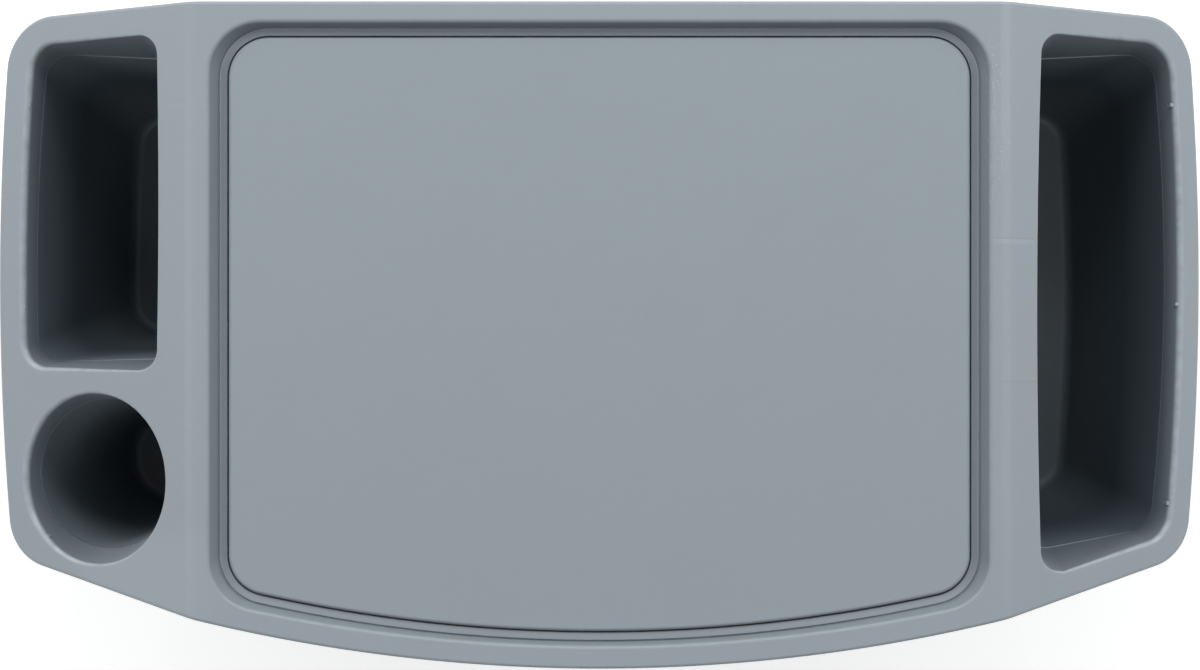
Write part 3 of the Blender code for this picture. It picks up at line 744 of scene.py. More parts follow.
@dataclass(frozen=True)
class TrayPlan:
    """The sizes that the whole tray shares: its outline, its bent wings, its recess and its seam."""

    height: float = 0.214
    depth: float = 0.3264
    front_arc_radius: float = 0.837
    front_arc_reach: float = 0.196
    back_corner: float = 0.0275
    front_corner: float = 0.026
    side_arc_radius: float = 1.28
    side_arc_middle: float = 0.029
    wing_start: float = 0.199
    wing_reach: float = 0.1124
    wing_angle: float = math.radians(29.0)
    bend_radius: float = 0.018
    wall: float = 0.0026
    recess_side_land: float = 0.0085
    recess_back_land: float = 0.0108
    recess_front_land: float = 0.0116
    recess_corner: float = 0.0245
    recess_edge: float = 0.002
    ledge_drop: float = 0.0065
    wall_run_sides: float = 0.0037
    wall_run_ends: float = 0.0013
    groove_width: float = 0.0008
    groove_depth: float = 0.0009
    ledge_width: float = 0.0037
    seat_drop: float = 0.0099
    panel_gap: float = 0.0009
    panel_arc_radius: float = 0.767
    panel_corner: float = 0.0197
    seam_below_rim: float = 0.0045
    lap: float = 0.003
    tongue: float = 0.00105
    fit: float = 0.0003

    @property
    def half_width(self) -> float:
        """Half of the tray's overall width."""
        return self.wing_start + self.wing_reach

    @property
    def bend_start(self) -> float:
        """Where the deck's level middle ends and the right-hand bend begins."""
        return self.wing_start - self.bend_radius * math.tan(self.wing_angle / 2)

    @property
    def bend_places(self) -> tuple[float, ...]:
        """Where the facets of the right-hand bend start and end, with one support on each side.

        Returns:
            The places across the tray.
        """
        turns = [self.wing_angle * step / BEND_STEPS for step in range(BEND_STEPS + 1)]
        places = [self.bend_start + self.bend_radius * math.sin(turn) for turn in turns]
        return (places[0] - BEND_SUPPORT, *places, places[-1] + BEND_SUPPORT)

    @property
    def seam(self) -> float:
        """Height of the fine line inside each well, where its bin meets the deck's collar."""
        return self.top(self.half_width) - self.seam_below_rim

    @property
    def front_arc_centre(self) -> Vector:
        """Centre of the bowed front edge."""
        return Vector((0, self.front_arc_radius - self.depth / 2))

    @property
    def wing_front(self) -> Line:
        """The right wing's straight front edge, which carries on from the end of the front arc.

        Returns:
            The edge.
        """
        slope = math.asin(self.front_arc_reach / self.front_arc_radius)
        rise = Vector((self.front_arc_reach, -self.front_arc_radius * math.cos(slope)))
        return Line(self.front_arc_centre + rise, slope, self.bend_places)

    def surface(self, x: float, depth: float) -> float:
        """Height of the deck's sheet, level in the middle and falling along each wing.

        Args:
            x: The place across the tray.
            depth: How deep in the sheet it is taken, square to it.

        Returns:
            The height.
        """
        past = abs(x) - self.bend_start
        radius = self.bend_radius - depth
        if past <= 0:
            return self.height - depth
        if past < radius * math.sin(self.wing_angle):
            return self.height - self.bend_radius + math.sqrt(radius**2 - past**2)
        fall = (abs(x) - self.wing_start) * math.tan(self.wing_angle)
        return self.height - fall - depth / math.cos(self.wing_angle)

    def top(self, x: float) -> float:
        """Height of the deck's upper side."""
        return self.surface(x, 0.0)

    def under(self, x: float) -> float:
        """Height of the deck's underside."""
        return self.surface(x, self.wall)

    def middle(self, x: float) -> float:
        """Height halfway through the sheet, where what hangs from it is rooted."""
        return self.surface(x, self.wall / 2)

    def deck_outline(self) -> Outline:
        """The plan of the whole tray, starting with the front arc.

        Returns:
            The outline.
        """
        front, wide, back = self.wing_front, self.half_width, self.depth / 2
        join = front.point
        bends = self.bend_places
        mirrored = tuple(-place for place in bends)
        side = Vector((wide - self.side_arc_radius, self.side_arc_middle))
        edges = [
            Arc(self.front_arc_centre, self.front_arc_radius, FRONT_ARC_STEPS, mirrored + bends),
            front,
            Arc(side, self.side_arc_radius),
            Line(Vector((0, back)), math.pi, bends + mirrored),
            Arc(side * FLIP, self.side_arc_radius),
            Line(join * FLIP, -front.heading, mirrored),
        ]
        corners = [
            (0, join),
            (self.front_corner, (wide, join.y)),
            (self.back_corner, (wide, back)),
            (self.back_corner, (-wide, back)),
            (self.front_corner, (-wide, join.y)),
            (0, join * FLIP),
        ]
        return Outline.joined(edges, corners)

    def field_outline(self, front: Arc, inset_sides: float, inset_back: float, radius: float) -> Outline:
        """An outline in the deck's level middle, with a straight back.

        Args:
            front: Its bowed front edge.
            inset_sides: How far its sides stand in from the recess's edge.
            inset_back: How far its back does.
            radius: Its corner radius.

        Returns:
            The outline.
        """
        wide = self.wing_start - self.recess_side_land - inset_sides
        back = self.depth / 2 - self.recess_back_land - inset_back
        sides = [((wide, 0), 0.5), ((0, back), 1.0), ((-wide, 0), -0.5)]
        edges = [front] + [Line(Vector(point), math.pi * turn) for point, turn in sides]
        places = [(wide, -back), (wide, back), (-wide, back), (-wide, -back)]
        return Outline.joined(edges, [(radius, place) for place in places])

    def recess_outline(self) -> Outline:
        """The recess's upper edge, whose front runs along the deck's."""
        front = Arc(self.front_arc_centre, self.front_arc_radius - self.recess_front_land, FRONT_ARC_STEPS)
        return self.field_outline(front, 0.0, 0.0, self.recess_corner)

    @property
    def past_wall(self) -> float:
        """How far the panel's edge stands in from the foot of the recess's wall."""
        return self.groove_width + self.ledge_width + self.panel_gap

    @property
    def panel_front(self) -> Arc:
        """The panel's front edge, which is a little rounder than the deck's."""
        lowest = self.recess_front_land + self.wall_run_ends + self.past_wall - self.depth / 2
        return Arc(Vector((0, lowest + self.panel_arc_radius)), self.panel_arc_radius, FRONT_ARC_STEPS)

    def panel_outline(self) -> Outline:
        """The plan of the centre panel, inside the wall, the groove, the ledge and the gap."""
        insets = (self.wall_run_sides + self.past_wall, self.wall_run_ends + self.past_wall)
        return self.field_outline(self.panel_front, *insets, self.panel_corner)


# The wells


class PaintedShade(NamedTuple):
    """How much painted shade darkens a well's inside, from 0 to 1, from its lip down to its floor."""

    lip: float
    wall: float
    deep: float
    floor: float


class Flare(NamedTuple):
    """How far a well's wall leans out above the seam, on its outer side, its back and its front."""

    outer: float
    back: float
    front: float


@dataclass
class Well:
    """A pocket or the cup well: straight lines run from its mouth on the wing to its floor."""

    plan: TrayPlan
    mouth: Outline
    floor: Outline
    side: Side
    floor_height: float
    shade: PaintedShade
    flare: Flare
    lip_inner: float = 0.0008
    lip_outer: float = 0.0026
    tops: list[Vector] = field(init=False)
    feet: list[Vector] = field(init=False)
    outs: list[Vector] = field(init=False)
    lips: list[float] = field(init=False)

    def __post_init__(self) -> None:
        """Lays the mouth on the wing, on the well's own side of the tray."""
        if self.side is Side.LEFT:
            self.mouth, self.floor = self.mouth.mirrored(), self.floor.mirrored()
        self.tops = self.mouth.on(self.plan.top)
        self.feet = self.floor.at(self.floor_height)
        self.outs = [out.to_3d() for _, out in self.mouth.marks]
        reaches = [abs(top.x) for top in self.tops]
        inner = min(reaches)
        widening = (self.lip_outer - self.lip_inner) / (max(reaches) - inner)
        self.lips = [self.lip_inner + widening * (reach - inner) for reach in reaches]

    def flared(self, surface: Surface, spread: float = 0.0) -> list[Vector]:
        """The mouth on a surface, where the wall above the seam leans out to it.

        Args:
            surface: The surface's height at a place across the tray.
            spread: How far the loop is moved outwards.

        Returns:
            The loop.
        """
        places = []
        for place, out in self.mouth.marks:
            outwards = max(out.x * self.side.value, 0.0) * self.flare.outer
            endwards = abs(out.y) * (self.flare.back if out.y > 0 else self.flare.front)
            places.append(place + out * (outwards + endwards + spread))
        return laid(places, surface)

    def level(self, height: float, spread: float = 0.0) -> list[Vector]:
        """The inside of the wall at a height, moved outwards by a spread."""
        return [
            top.lerp(foot, (top.z - height) / (top.z - foot.z)) + out * spread
            for top, foot, out in zip(self.tops, self.feet, self.outs)
        ]

    def wall_place(self, height: float, start: Vector, heading: float, spread: float) -> Vector:
        """Where a level ray from inside the well leaves the wall.

        Args:
            height: The ray's height.
            start: Where it starts, in plan.
            heading: Its direction.
            spread: How far outside the inner face it counts as out.

        Returns:
            The place in plan.

        Raises:
            ValueError: If the ray starts outside the well.
        """
        loop = self.level(height, spread)
        across = direction(heading).orthogonal()
        for first, second in zip(loop, loop[1:] + loop[:1]):
            side_first = (first.xy - start).dot(across)
            side_second = (second.xy - start).dot(across)
            if side_first < 0 <= side_second:
                return first.xy.lerp(second.xy, side_first / (side_first - side_second))
        raise ValueError("the ray misses the wall")


@dataclass(frozen=True)
class PocketShape:
    """The sizes of one long pocket, given by the widths of deck left round its mouth."""

    side: Side
    land_inner: float
    land_outer: float
    outer_corner: float
    shade: PaintedShade
    flare: Flare
    land_back: float = 0.0148
    inner_corner: float = 0.0105
    outer_arc: float = 1.2
    outer_arc_middle: float = 0.03
    inner_arc: float = 3.4
    draft_outer: float = 0.016
    draft_inner: float = 0.006
    draft_ends: float = 0.0165
    floor_corner: float = 0.021
    floor_thickness: float = 0.0028

    def well(self, plan: TrayPlan, front: Line) -> Well:
        """The pocket's inside.

        Args:
            plan: The tray that it is in.
            front: The mouth's front edge, on the right-hand side.

        Returns:
            The well.
        """
        inner = plan.wing_start + self.land_inner
        outer = plan.half_width - self.land_outer
        back = plan.depth / 2 - self.land_back
        front_place = front.point.y
        middle = (back + front_place) / 2
        mouth = (self.inner_corner, self.outer_corner, 0.0, 0.0, 0.0)
        floor = (self.floor_corner, self.floor_corner, self.draft_inner, self.draft_outer, self.draft_ends)
        outlines = []
        for inner_radius, outer_radius, draft_inner, draft_outer, draft_ends in (mouth, floor):
            edges = [
                front.inset(draft_ends),
                Arc(Vector((outer - self.outer_arc, self.outer_arc_middle)), self.outer_arc - draft_outer),
                Line(Vector((0, back - draft_ends)), math.pi),
                Arc(Vector((inner + self.inner_arc, middle)), self.inner_arc - draft_inner),
            ]
            corners = [
                (outer_radius, (outer, front_place)),
                (outer_radius, (outer, back)),
                (inner_radius, (inner, back)),
                (inner_radius, (inner, front_place)),
            ]
            outlines.append(Outline.joined(edges, corners))
        return Well(plan, *outlines, self.side, self.floor_thickness, self.shade, self.flare)


@dataclass(frozen=True)
class CupShape:
    """The sizes of the cup well, which fills its wing between two lands."""

    plan: TrayPlan
    land_inner: float = 0.014
    land_outer: float = 0.0191
    land_front: float = 0.011
    stretch: float = 1.063
    divider: float = 0.0129
    draft: float = 0.0145
    floor_thickness: float = 0.0028
    # Painted shade inside the well, from its lip down to its floor
    shade: PaintedShade = PaintedShade(0.3, 0.34, 0.4, 0.8)
    flare: Flare = Flare(0.0015, 0.0, 0.0012)

    @property
    def radius(self) -> float:
        """Half of the mouth's width."""
        return (self.plan.wing_reach - self.land_inner - self.land_outer) / 2

    @property
    def half_length(self) -> float:
        """Half of the mouth's length from front to back."""
        return self.radius * self.stretch

    @property
    def centre(self) -> Vector:
        """The well's axis on the right-hand side, before it is mirrored to the left."""
        axis = Line(Vector((self.plan.wing_start + self.land_inner + self.radius, 0)), math.pi / 2)
        return meeting(self.plan.wing_front.inset(self.land_front + self.half_length), axis)

    def pocket_front(self, angle: float) -> Line:
        """The front edge of the pocket behind the cup well, a divider's width away."""
        return Line(self.centre + Vector((0, self.half_length + self.divider)), angle)

    def well(self) -> Well:
        """The nearly round well, which tapers evenly from its mouth to its floor.

        Returns:
            The well.
        """
        centre, wide, long = self.centre, self.radius, self.half_length
        mouth, floor = [], []
        for number in range(CUP_SIDES):
            angle = 2 * math.pi * number / CUP_SIDES
            spoke = Vector((math.cos(angle) * wide, math.sin(angle) * long))
            out = Vector((math.cos(angle) * long, math.sin(angle) * wide)).normalized()
            mouth.append((centre + spoke, out))
            floor.append((centre + spoke - out * self.draft, out))
        shapes = (Outline(mouth), Outline(floor), Side.LEFT)
        return Well(self.plan, *shapes, self.floor_thickness, self.shade, self.flare)


@dataclass
class Ear:
    """One fixing of a bin: where its wall is, and where its screw goes."""

    well: Well
    start: Vector
    heading: float
    reach: float = 0.0056
    thickness: float = 0.003
    top: float = field(init=False)
    wall: Vector = field(init=False)
    centre: Vector = field(init=False)

    def __post_init__(self) -> None:
        """Finds the wall and the screw's place."""
        plan = self.well.plan
        self.top = plan.seam - plan.lap - plan.fit
        self.wall = self.root(self.top, 0.0)
        self.centre = self.wall + self.along * self.reach

    @property
    def along(self) -> Vector:
        """The direction away from the well."""
        return direction(self.heading)

    @property
    def seat(self) -> Vector:
        """Where the underside of the screw's head lies, just under the ear."""
        return lifted([self.centre], self.top - self.thickness - self.well.plan.fit)[0]

    def root(self, height: float, depth: float) -> Vector:
        """A place inside the wall, at a height and at a depth below its outer face."""
        return self.well.wall_place(height, self.start, self.heading, self.well.plan.wall - depth)

    def circle(self, radius: float) -> list[Vector]:
        """A circle about the screw."""
        turns = [2 * math.pi * number / ROUND_SIDES for number in range(ROUND_SIDES)]
        return [self.centre + direction(turn) * radius for turn in turns]

    def keyhole(self, radius: float, root: Vector) -> list[Vector]:
        """A round tab about the screw that reaches back, as wide as it is round, to a root in the wall.

        Args:
            radius: The tab's radius.
            root: The middle of the root.

        Returns:
            The tab's outline.
        """
        side = self.along.orthogonal() * radius
        backwards = self.heading - math.pi
        first = backwards + math.pi / 2
        turns = [first + math.pi * step / ROUND_SIDES for step in range(ROUND_SIDES + 1)]
        return [root - side, *(self.centre + direction(turn) * radius for turn in turns), root + side]


# Meshes


class Ring(NamedTuple):
    """A loop of a surface, and from 0 to 1 its paleness from rubbing and painted highlight, and its painted
    shade.
    """

    points: list[Vector]
    wear: float = 0.0
    shelter: float = 0.0


class Station(NamedTuple):
    """A loop that a surface turns at: its rounding, the paleness from rubbing and painted highlight on that,
    and its painted shade.
    """

    points: list[Vector]
    radius: float | list[float] = 0.0
    wear: float = 0.0
    shelter: float = 0.0


def support(length: float, tangent: float) -> float:
    """How far a support stands from its rounding, on a side of a given length."""
    return min(SUPPORT, (length / 2 - tangent) * SUPPORT_SHARE)


def rounding(before: Vector, corner: Vector, after: Vector, radius: float, steps: int) -> list[Vector]:
    """The arc that rounds a corner, with a support point before and after it.

    Args:
        before: The point that the surface comes from.
        corner: The corner.
        after: The point that it goes on to.
        radius: The arc's radius.
        steps: How many parts it has.

    Returns:
        The points.
    """
    first = before - corner
    second = after - corner
    half_angle = first.angle(second) / 2
    tangent = min(radius / math.tan(half_angle), min(first.length, second.length) * FILLET_SHARE)
    start = corner + first.normalized() * tangent
    end = corner + second.normalized() * tangent
    weight = math.sin(half_angle)
    points = [start + first.normalized() * support(first.length, tangent)]
    for step in range(steps + 1):
        share = step / steps
        shares = ((1 - share) ** 2, 2 * share * (1 - share) * weight, share**2)
        points.append((start * shares[0] + corner * shares[1] + end * shares[2]) / sum(shares))
    return points + [end + second.normalized() * support(second.length, tangent)]


def rings(stations: Sequence[Station], steps: int = FILLET_STEPS) -> list[Ring]:
    """The loops of a surface through its stations.

    Args:
        stations: The first and the last only give directions and aren't part of the surface.
        steps: How many parts each rounding has.

    Returns:
        The loops.
    """
    found: list[Ring] = []
    last = steps + 2
    for before, here, after in zip(stations, stations[1:], stations[2:]):
        radii = here.radius if isinstance(here.radius, list) else [here.radius] * len(here.points)
        if not any(radii):
            found.append(Ring(here.points, here.wear, here.shelter))
            continue
        corners = zip(before.points, here.points, after.points, radii)
        for number, loop in enumerate(zip(*(rounding(*corner, steps) for corner in corners))):
            share = 0.0 if number in (0, last) else math.sin(math.pi * (number - 0.5) / (last - 1))
            shelter = before.shelter + (here.shelter - before.shelter) * number / last
            found.append(Ring(list(loop), here.wear * share, shelter))
    return found


def within(place: Vector, loop: list) -> bool:
    """Whether a place in plan lies inside a loop.

    Args:
        place: The place.
        loop: The loop's vertices.

    Returns:
        Whether it does.
    """
    crossed = False
    for first, second in zip(loop, loop[1:] + loop[:1]):
        low, high = first.co, second.co
        if (low.y > place.y) != (high.y > place.y):
            share = (place.y - low.y) / (high.y - low.y)
            crossed ^= place.x < low.x + (high.x - low.x) * share
    return crossed


class Skin:
    """A mesh that is being built, with a paleness from rubbing and painted highlight and a painted shade for
    each of its points.
    """

    def __init__(self) -> None:
        """Starts an empty mesh."""
        self.bm = bmesh.new()
        self.wear = self.bm.verts.layers.float.new(WEAR_AND_HIGHLIGHT)
        self.shelter = self.bm.verts.layers.float.new(PAINTED_SHADE)

    def bands(self, loops: Sequence[Ring], closed: bool = False) -> tuple[list, list]:
        """Adds bands of faces between loops with as many points each.

        Args:
            loops: The loops.
            closed: Whether the last loop joins the first.

        Returns:
            The first and the last loop's vertices.
        """
        rows = []
        for ring in loops:
            row = [self.bm.verts.new(point) for point in ring.points]
            for vert in row:
                vert[self.wear] = ring.wear
                vert[self.shelter] = ring.shelter
            rows.append(row)
        for upper, lower in zip(rows, rows[1:] + rows[:1] if closed else rows[1:]):
            for number in range(len(upper)):
                following = (number + 1) % len(upper)
                self.bm.faces.new((upper[number], upper[following], lower[following], lower[number]))
        return rows[0], rows[-1]

    def capped(self, loops: Sequence[Ring]) -> None:
        """Adds a closed body from loops, with a flat cap on the first and on the last."""
        for cap in self.bands(loops):
            self.bm.faces.new(cap)

    def fill(self, border: list, holes: list[list], creases: list[tuple[int, int]]) -> None:
        """Fills from a border to its holes as seen in plan.

        Args:
            border: The vertices round the outside.
            holes: The vertices round each hole.
            creases: Pairs of the border's vertices, by number, that an edge runs between.
        """
        verts, edges = [], list(creases)
        for loop in [border] + holes:
            first, count = len(verts), len(loop)
            edges += [(first + number, first + (number + 1) % count) for number in range(count)]
            verts += loop
        inside_only = 1
        filled = delaunay_2d_cdt([vert.co.xy for vert in verts], edges, [], inside_only, SAME_PLACE)
        sources = [found[0] for found in filled[3]]
        for face in filled[2]:
            corners = [verts[sources[number]] for number in face]
            middle = sum((corner.co for corner in corners), Vector()) / len(corners)
            if not any(within(middle, hole) for hole in holes):
                self.bm.faces.new(corners)

    def piece(self, name: str, material: bpy.types.Material) -> bpy.types.Object:
        """Ends the mesh, with its faces outwards.

        Args:
            name: The piece's name.
            material: Its finish.

        Returns:
            The piece, with its place in its mesh.
        """
        bmesh.ops.recalc_face_normals(self.bm, faces=self.bm.faces)
        mesh = bpy.data.meshes.new(name)
        self.bm.to_mesh(mesh)
        self.bm.free()
        smoothed(mesh)
        mesh.materials.append(material)
        return linked(name, mesh)


def settle(piece: bpy.types.Object, body: Body, slot: Slot, nodes: Iterable[str] = ()) -> None:
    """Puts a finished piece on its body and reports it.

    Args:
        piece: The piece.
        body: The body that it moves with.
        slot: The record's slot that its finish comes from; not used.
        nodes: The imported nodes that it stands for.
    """
    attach(piece, body.value)
    if nodes:
        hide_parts(*nodes)
    log.info("%s: %d faces on body %s", piece.name, len(piece.data.polygons), body.value)


# The tray's own pieces


@dataclass
class Moulding:
    """A moulded piece: its finish, and the mesh that its methods fill."""

    material: bpy.types.Material
    skin: Skin = field(init=False, default_factory=Skin)


@dataclass
class DeckMoulding(Moulding):
    """The one-piece deck: rim, recess, wings, the collars of its wells, and its bosses and gussets."""

    plan: TrayPlan
    wells: list[Well]
    ears: list[Ear]
    edge_radius: float = 0.0024
    skirt_depth: float = 0.012
    skirt_flare: float = 0.0005
    small_edge: float = 0.0004
    inside_radius: float = 0.0012
    guide: float = 0.004
    lip_guide: float = 0.009
    boss_radius: float = 0.0034
    web_thickness: float = 0.0018
    web_rise: float = 0.0006
    pilot_radius: float = 0.0018
    pilot_depth: float = 0.0108
    rim_wear_and_highlight: float = 0.6
    foot_wear: float = 0.5
    recess_wear: float = 0.7
    # Paleness from rubbing and painted highlights on the ledge's outer and inner edges
    ledge_wear_and_highlight: tuple[float, float] = (4.0, 1.5)
    # Paleness from rubbing and a painted highlight along the wells' lips
    lip_wear_and_highlight: float = 4.5
    # Painted shade in the recess's channel; the ledge's front part loses it all and the wall there about half
    channel_painted_shade: float = 0.38
    wall_shade_kept: float = 0.55
    front_shade_fade: tuple[float, float] = (-0.128, -0.104)
    # Width of the pale line beside the ledge's outer edge, a painted highlight that the channel's painted
    # shade leaves out
    ledge_highlight_width: float = 0.0006
    gusset_thickness: float = 0.002
    gusset_depth: float = 0.011
    gussets: tuple[tuple[Side, float], ...] = ((Side.RIGHT, 0.046), (Side.RIGHT, -0.022), (Side.LEFT, 0.1135))

    def skirt_foot(self, x: float) -> float:
        """Height of the skirt's foot."""
        return self.plan.top(x) - self.skirt_depth

    def rim(self, outline: Outline) -> list[Station]:
        """Over the deck's rounded edge, down the skirt and up its inner side to the underside.

        Args:
            outline: The deck's plan.

        Returns:
            The stations.
        """
        plan, foot = self.plan, self.skirt_foot
        return [
            Station(outline.on(plan.top, -self.guide)),
            Station(outline.on(plan.top, -self.skirt_flare), self.edge_radius, self.rim_wear_and_highlight),
            Station(outline.on(foot), self.small_edge, self.foot_wear),
            Station(outline.on(foot, -plan.wall)),
            Station(outline.on(plan.under, -self.skirt_flare - plan.wall), self.inside_radius),
            Station(outline.on(plan.under, -plan.wall - self.guide)),
        ]

    def recess(self) -> list[Station]:
        """Down the recess's wall, over the groove and the ledge, to the seat of the panel, with painted shade
        in the channel and painted highlights along the ledge's edges.

        Returns:
            The stations.
        """
        plan, dim, small = self.plan, self.channel_painted_shade, self.small_edge
        edge, panel = plan.recess_outline(), plan.panel_outline()
        ledge = plan.height - plan.ledge_drop
        outer = plan.panel_gap + plan.ledge_width
        groove = ledge - plan.groove_depth
        seat = plan.height - plan.seat_drop
        return [
            Station(edge.at(plan.height, self.guide)),
            Station(edge.at(plan.height), plan.recess_edge, self.recess_wear, dim),
            Station(panel.at(groove, outer + plan.groove_width), shelter=dim),
            Station(panel.at(groove, outer + plan.groove_width / 2), shelter=dim),
            # A painted highlight along the ledge's outer edge, a pale line beside it, and another painted
            # highlight along its inner edge
            Station(panel.at(ledge, outer), small, self.ledge_wear_and_highlight[0]),
            Station(panel.at(ledge, outer - self.ledge_highlight_width), shelter=dim),
            Station(panel.at(ledge, plan.panel_gap), small, self.ledge_wear_and_highlight[1], dim),
            Station(panel.at(seat, plan.panel_gap), shelter=dim),
            Station(panel.at(seat, -self.guide)),
        ]

    def ease_front_shade(self) -> None:
        """Takes the painted shade off the ledge's front part, and about half of it off the wall there."""
        shelter = self.skin.shelter
        ledge = self.plan.height - self.plan.ledge_drop
        for vert in self.skin.bm.verts:
            kept = 0.0 if abs(vert.co.z - ledge) < self.small_edge else self.wall_shade_kept
            vert[shelter] *= kept + (1 - kept) * share_of(vert.co.y, *self.front_shade_fade)

    def recess_under(self) -> list[Station]:
        """The underside of the recess, a wall's thickness outside and below it.

        Returns:
            The stations.
        """
        plan = self.plan
        edge, panel = plan.recess_outline(), plan.panel_outline()
        ledge = plan.height - plan.ledge_drop - plan.wall
        outside = plan.panel_gap + plan.ledge_width + plan.groove_width + plan.wall
        floor = plan.height - plan.seat_drop - plan.wall
        return [
            Station(edge.at(plan.height - plan.wall, plan.wall + self.guide)),
            Station(edge.at(plan.height - plan.wall, plan.wall / 2), self.inside_radius),
            Station(panel.at(ledge, outside), self.small_edge),
            Station(panel.at(ledge, plan.panel_gap + plan.wall)),
            Station(panel.at(floor, plan.panel_gap + plan.wall), self.small_edge),
            Station(panel.at(floor, -self.guide)),
        ]

    def collar(self, well: Well) -> list[Station]:
        """Over the lip of a well, down to the seam and its tongue, and back up to the underside.

        Args:
            well: The well.

        Returns:
            The stations.
        """
        plan = self.plan
        inner_half = plan.wall - plan.tongue
        return [
            Station(well.flared(plan.top, self.lip_guide)),
            # The lip is pale from rubbing and painted highlight, and the well's painted shade starts on it
            Station(well.flared(plan.top), well.lips, self.lip_wear_and_highlight, well.shade.lip),
            Station(well.level(plan.seam), shelter=well.shade.wall),
            Station(well.level(plan.seam, inner_half)),
            Station(well.level(plan.seam - plan.lap, inner_half)),
            Station(well.level(plan.seam - plan.lap, plan.wall)),
            Station(well.flared(plan.under, plan.wall), self.inside_radius),
            Station(well.flared(plan.under, plan.wall + self.guide)),
        ]

    def creases(self, outline: Outline) -> list[tuple[int, int]]:
        """Pairs of the outline's points, front and back, that the bend's facets run between.

        Args:
            outline: The deck's plan.

        Returns:
            The pairs, by the points' numbers.
        """
        pairs = []
        for place in [side.value * bend for side in Side for bend in self.plan.bend_places]:
            ends = [n for n, (point, _) in enumerate(outline.marks) if abs(point.x - place) < SAME_PLACE]
            pairs.append((ends[0], ends[1]))
        return pairs

    def add_bosses(self) -> None:
        """Adds a round boss with its pilot hole for each screw, and a web from it to the collar."""
        plan = self.plan
        foot = plan.seam - plan.lap
        bottom = foot + self.web_rise
        for ear in self.ears:
            outer, hole = ear.circle(self.boss_radius), ear.circle(self.pilot_radius)
            tip = ear.seat.z + self.pilot_depth
            loops = (laid(outer, plan.middle), lifted(outer, foot), lifted(hole, foot), lifted(hole, tip))
            self.skin.capped([Ring(loop) for loop in loops])
            across = ear.along.orthogonal() * self.web_thickness / 2
            start = ear.centre - ear.along * (self.boss_radius + self.pilot_radius) / 2
            root = ear.root(plan.middle(ear.wall.x), plan.wall / 2)
            root_below = ear.root(bottom, plan.tongue / 2)
            upper, lower = (
                [end - across, start - across, start + across, end + across] for end in (root, root_below)
            )
            self.skin.capped([Ring(laid(upper, plan.middle)), Ring(lifted(lower, bottom))])

    def add_gussets(self) -> None:
        """Adds the ribs across the strips between the recess and the pockets."""
        plan = self.plan
        first = plan.wing_start - plan.recess_side_land
        below = first - plan.wall_run_sides
        for side, place in self.gussets:
            beside = next(well for well in self.wells if well.side is side)
            middle = sum(top.x for top in beside.tops) / len(beside.tops)
            inward = math.pi if side is Side.RIGHT else 0.0
            bottom = plan.top(beside.tops[0].x) - self.gusset_depth
            reach = abs(beside.wall_place(bottom, Vector((middle, place)), inward, plan.wall / 2).x)
            across = [first] + [stop for stop in plan.bend_places if first < stop < reach] + [reach]
            faces = []
            for offset in (-self.gusset_thickness / 2, self.gusset_thickness / 2):
                y = place + offset
                upper = [Vector((side.value * x, y, plan.middle(x))) for x in across]
                lower = [
                    Vector((side.value * x, y, plan.top(x) - self.gusset_depth)) for x in [below] + across[1:]
                ]
                faces.append(Ring(upper + lower[::-1]))
            self.skin.capped(faces)

    def build(self) -> None:
        """Builds the moulding and puts it in its node's place."""
        skin = self.skin
        outline = self.plan.deck_outline()
        rim_top, rim_under = skin.bands(rings(self.rim(outline)))
        recess_top, seat = skin.bands(rings(self.recess()))
        self.ease_front_shade()
        recess_under, floor = skin.bands(rings(self.recess_under(), SMALL_FILLET_STEPS))
        skin.bm.faces.new(seat)
        skin.bm.faces.new(floor)
        ends = [skin.bands(rings(self.collar(well))) for well in self.wells]
        creases = self.creases(outline)
        skin.fill(rim_top, [recess_top] + [mouth for mouth, _ in ends], creases)
        skin.fill(rim_under, [recess_under] + [collar for _, collar in ends], creases)
        self.add_bosses()
        self.add_gussets()
        settle(skin.piece("deck_moulding", self.material), Body.TRAY, Slot.DECK, ["tray_deck"])


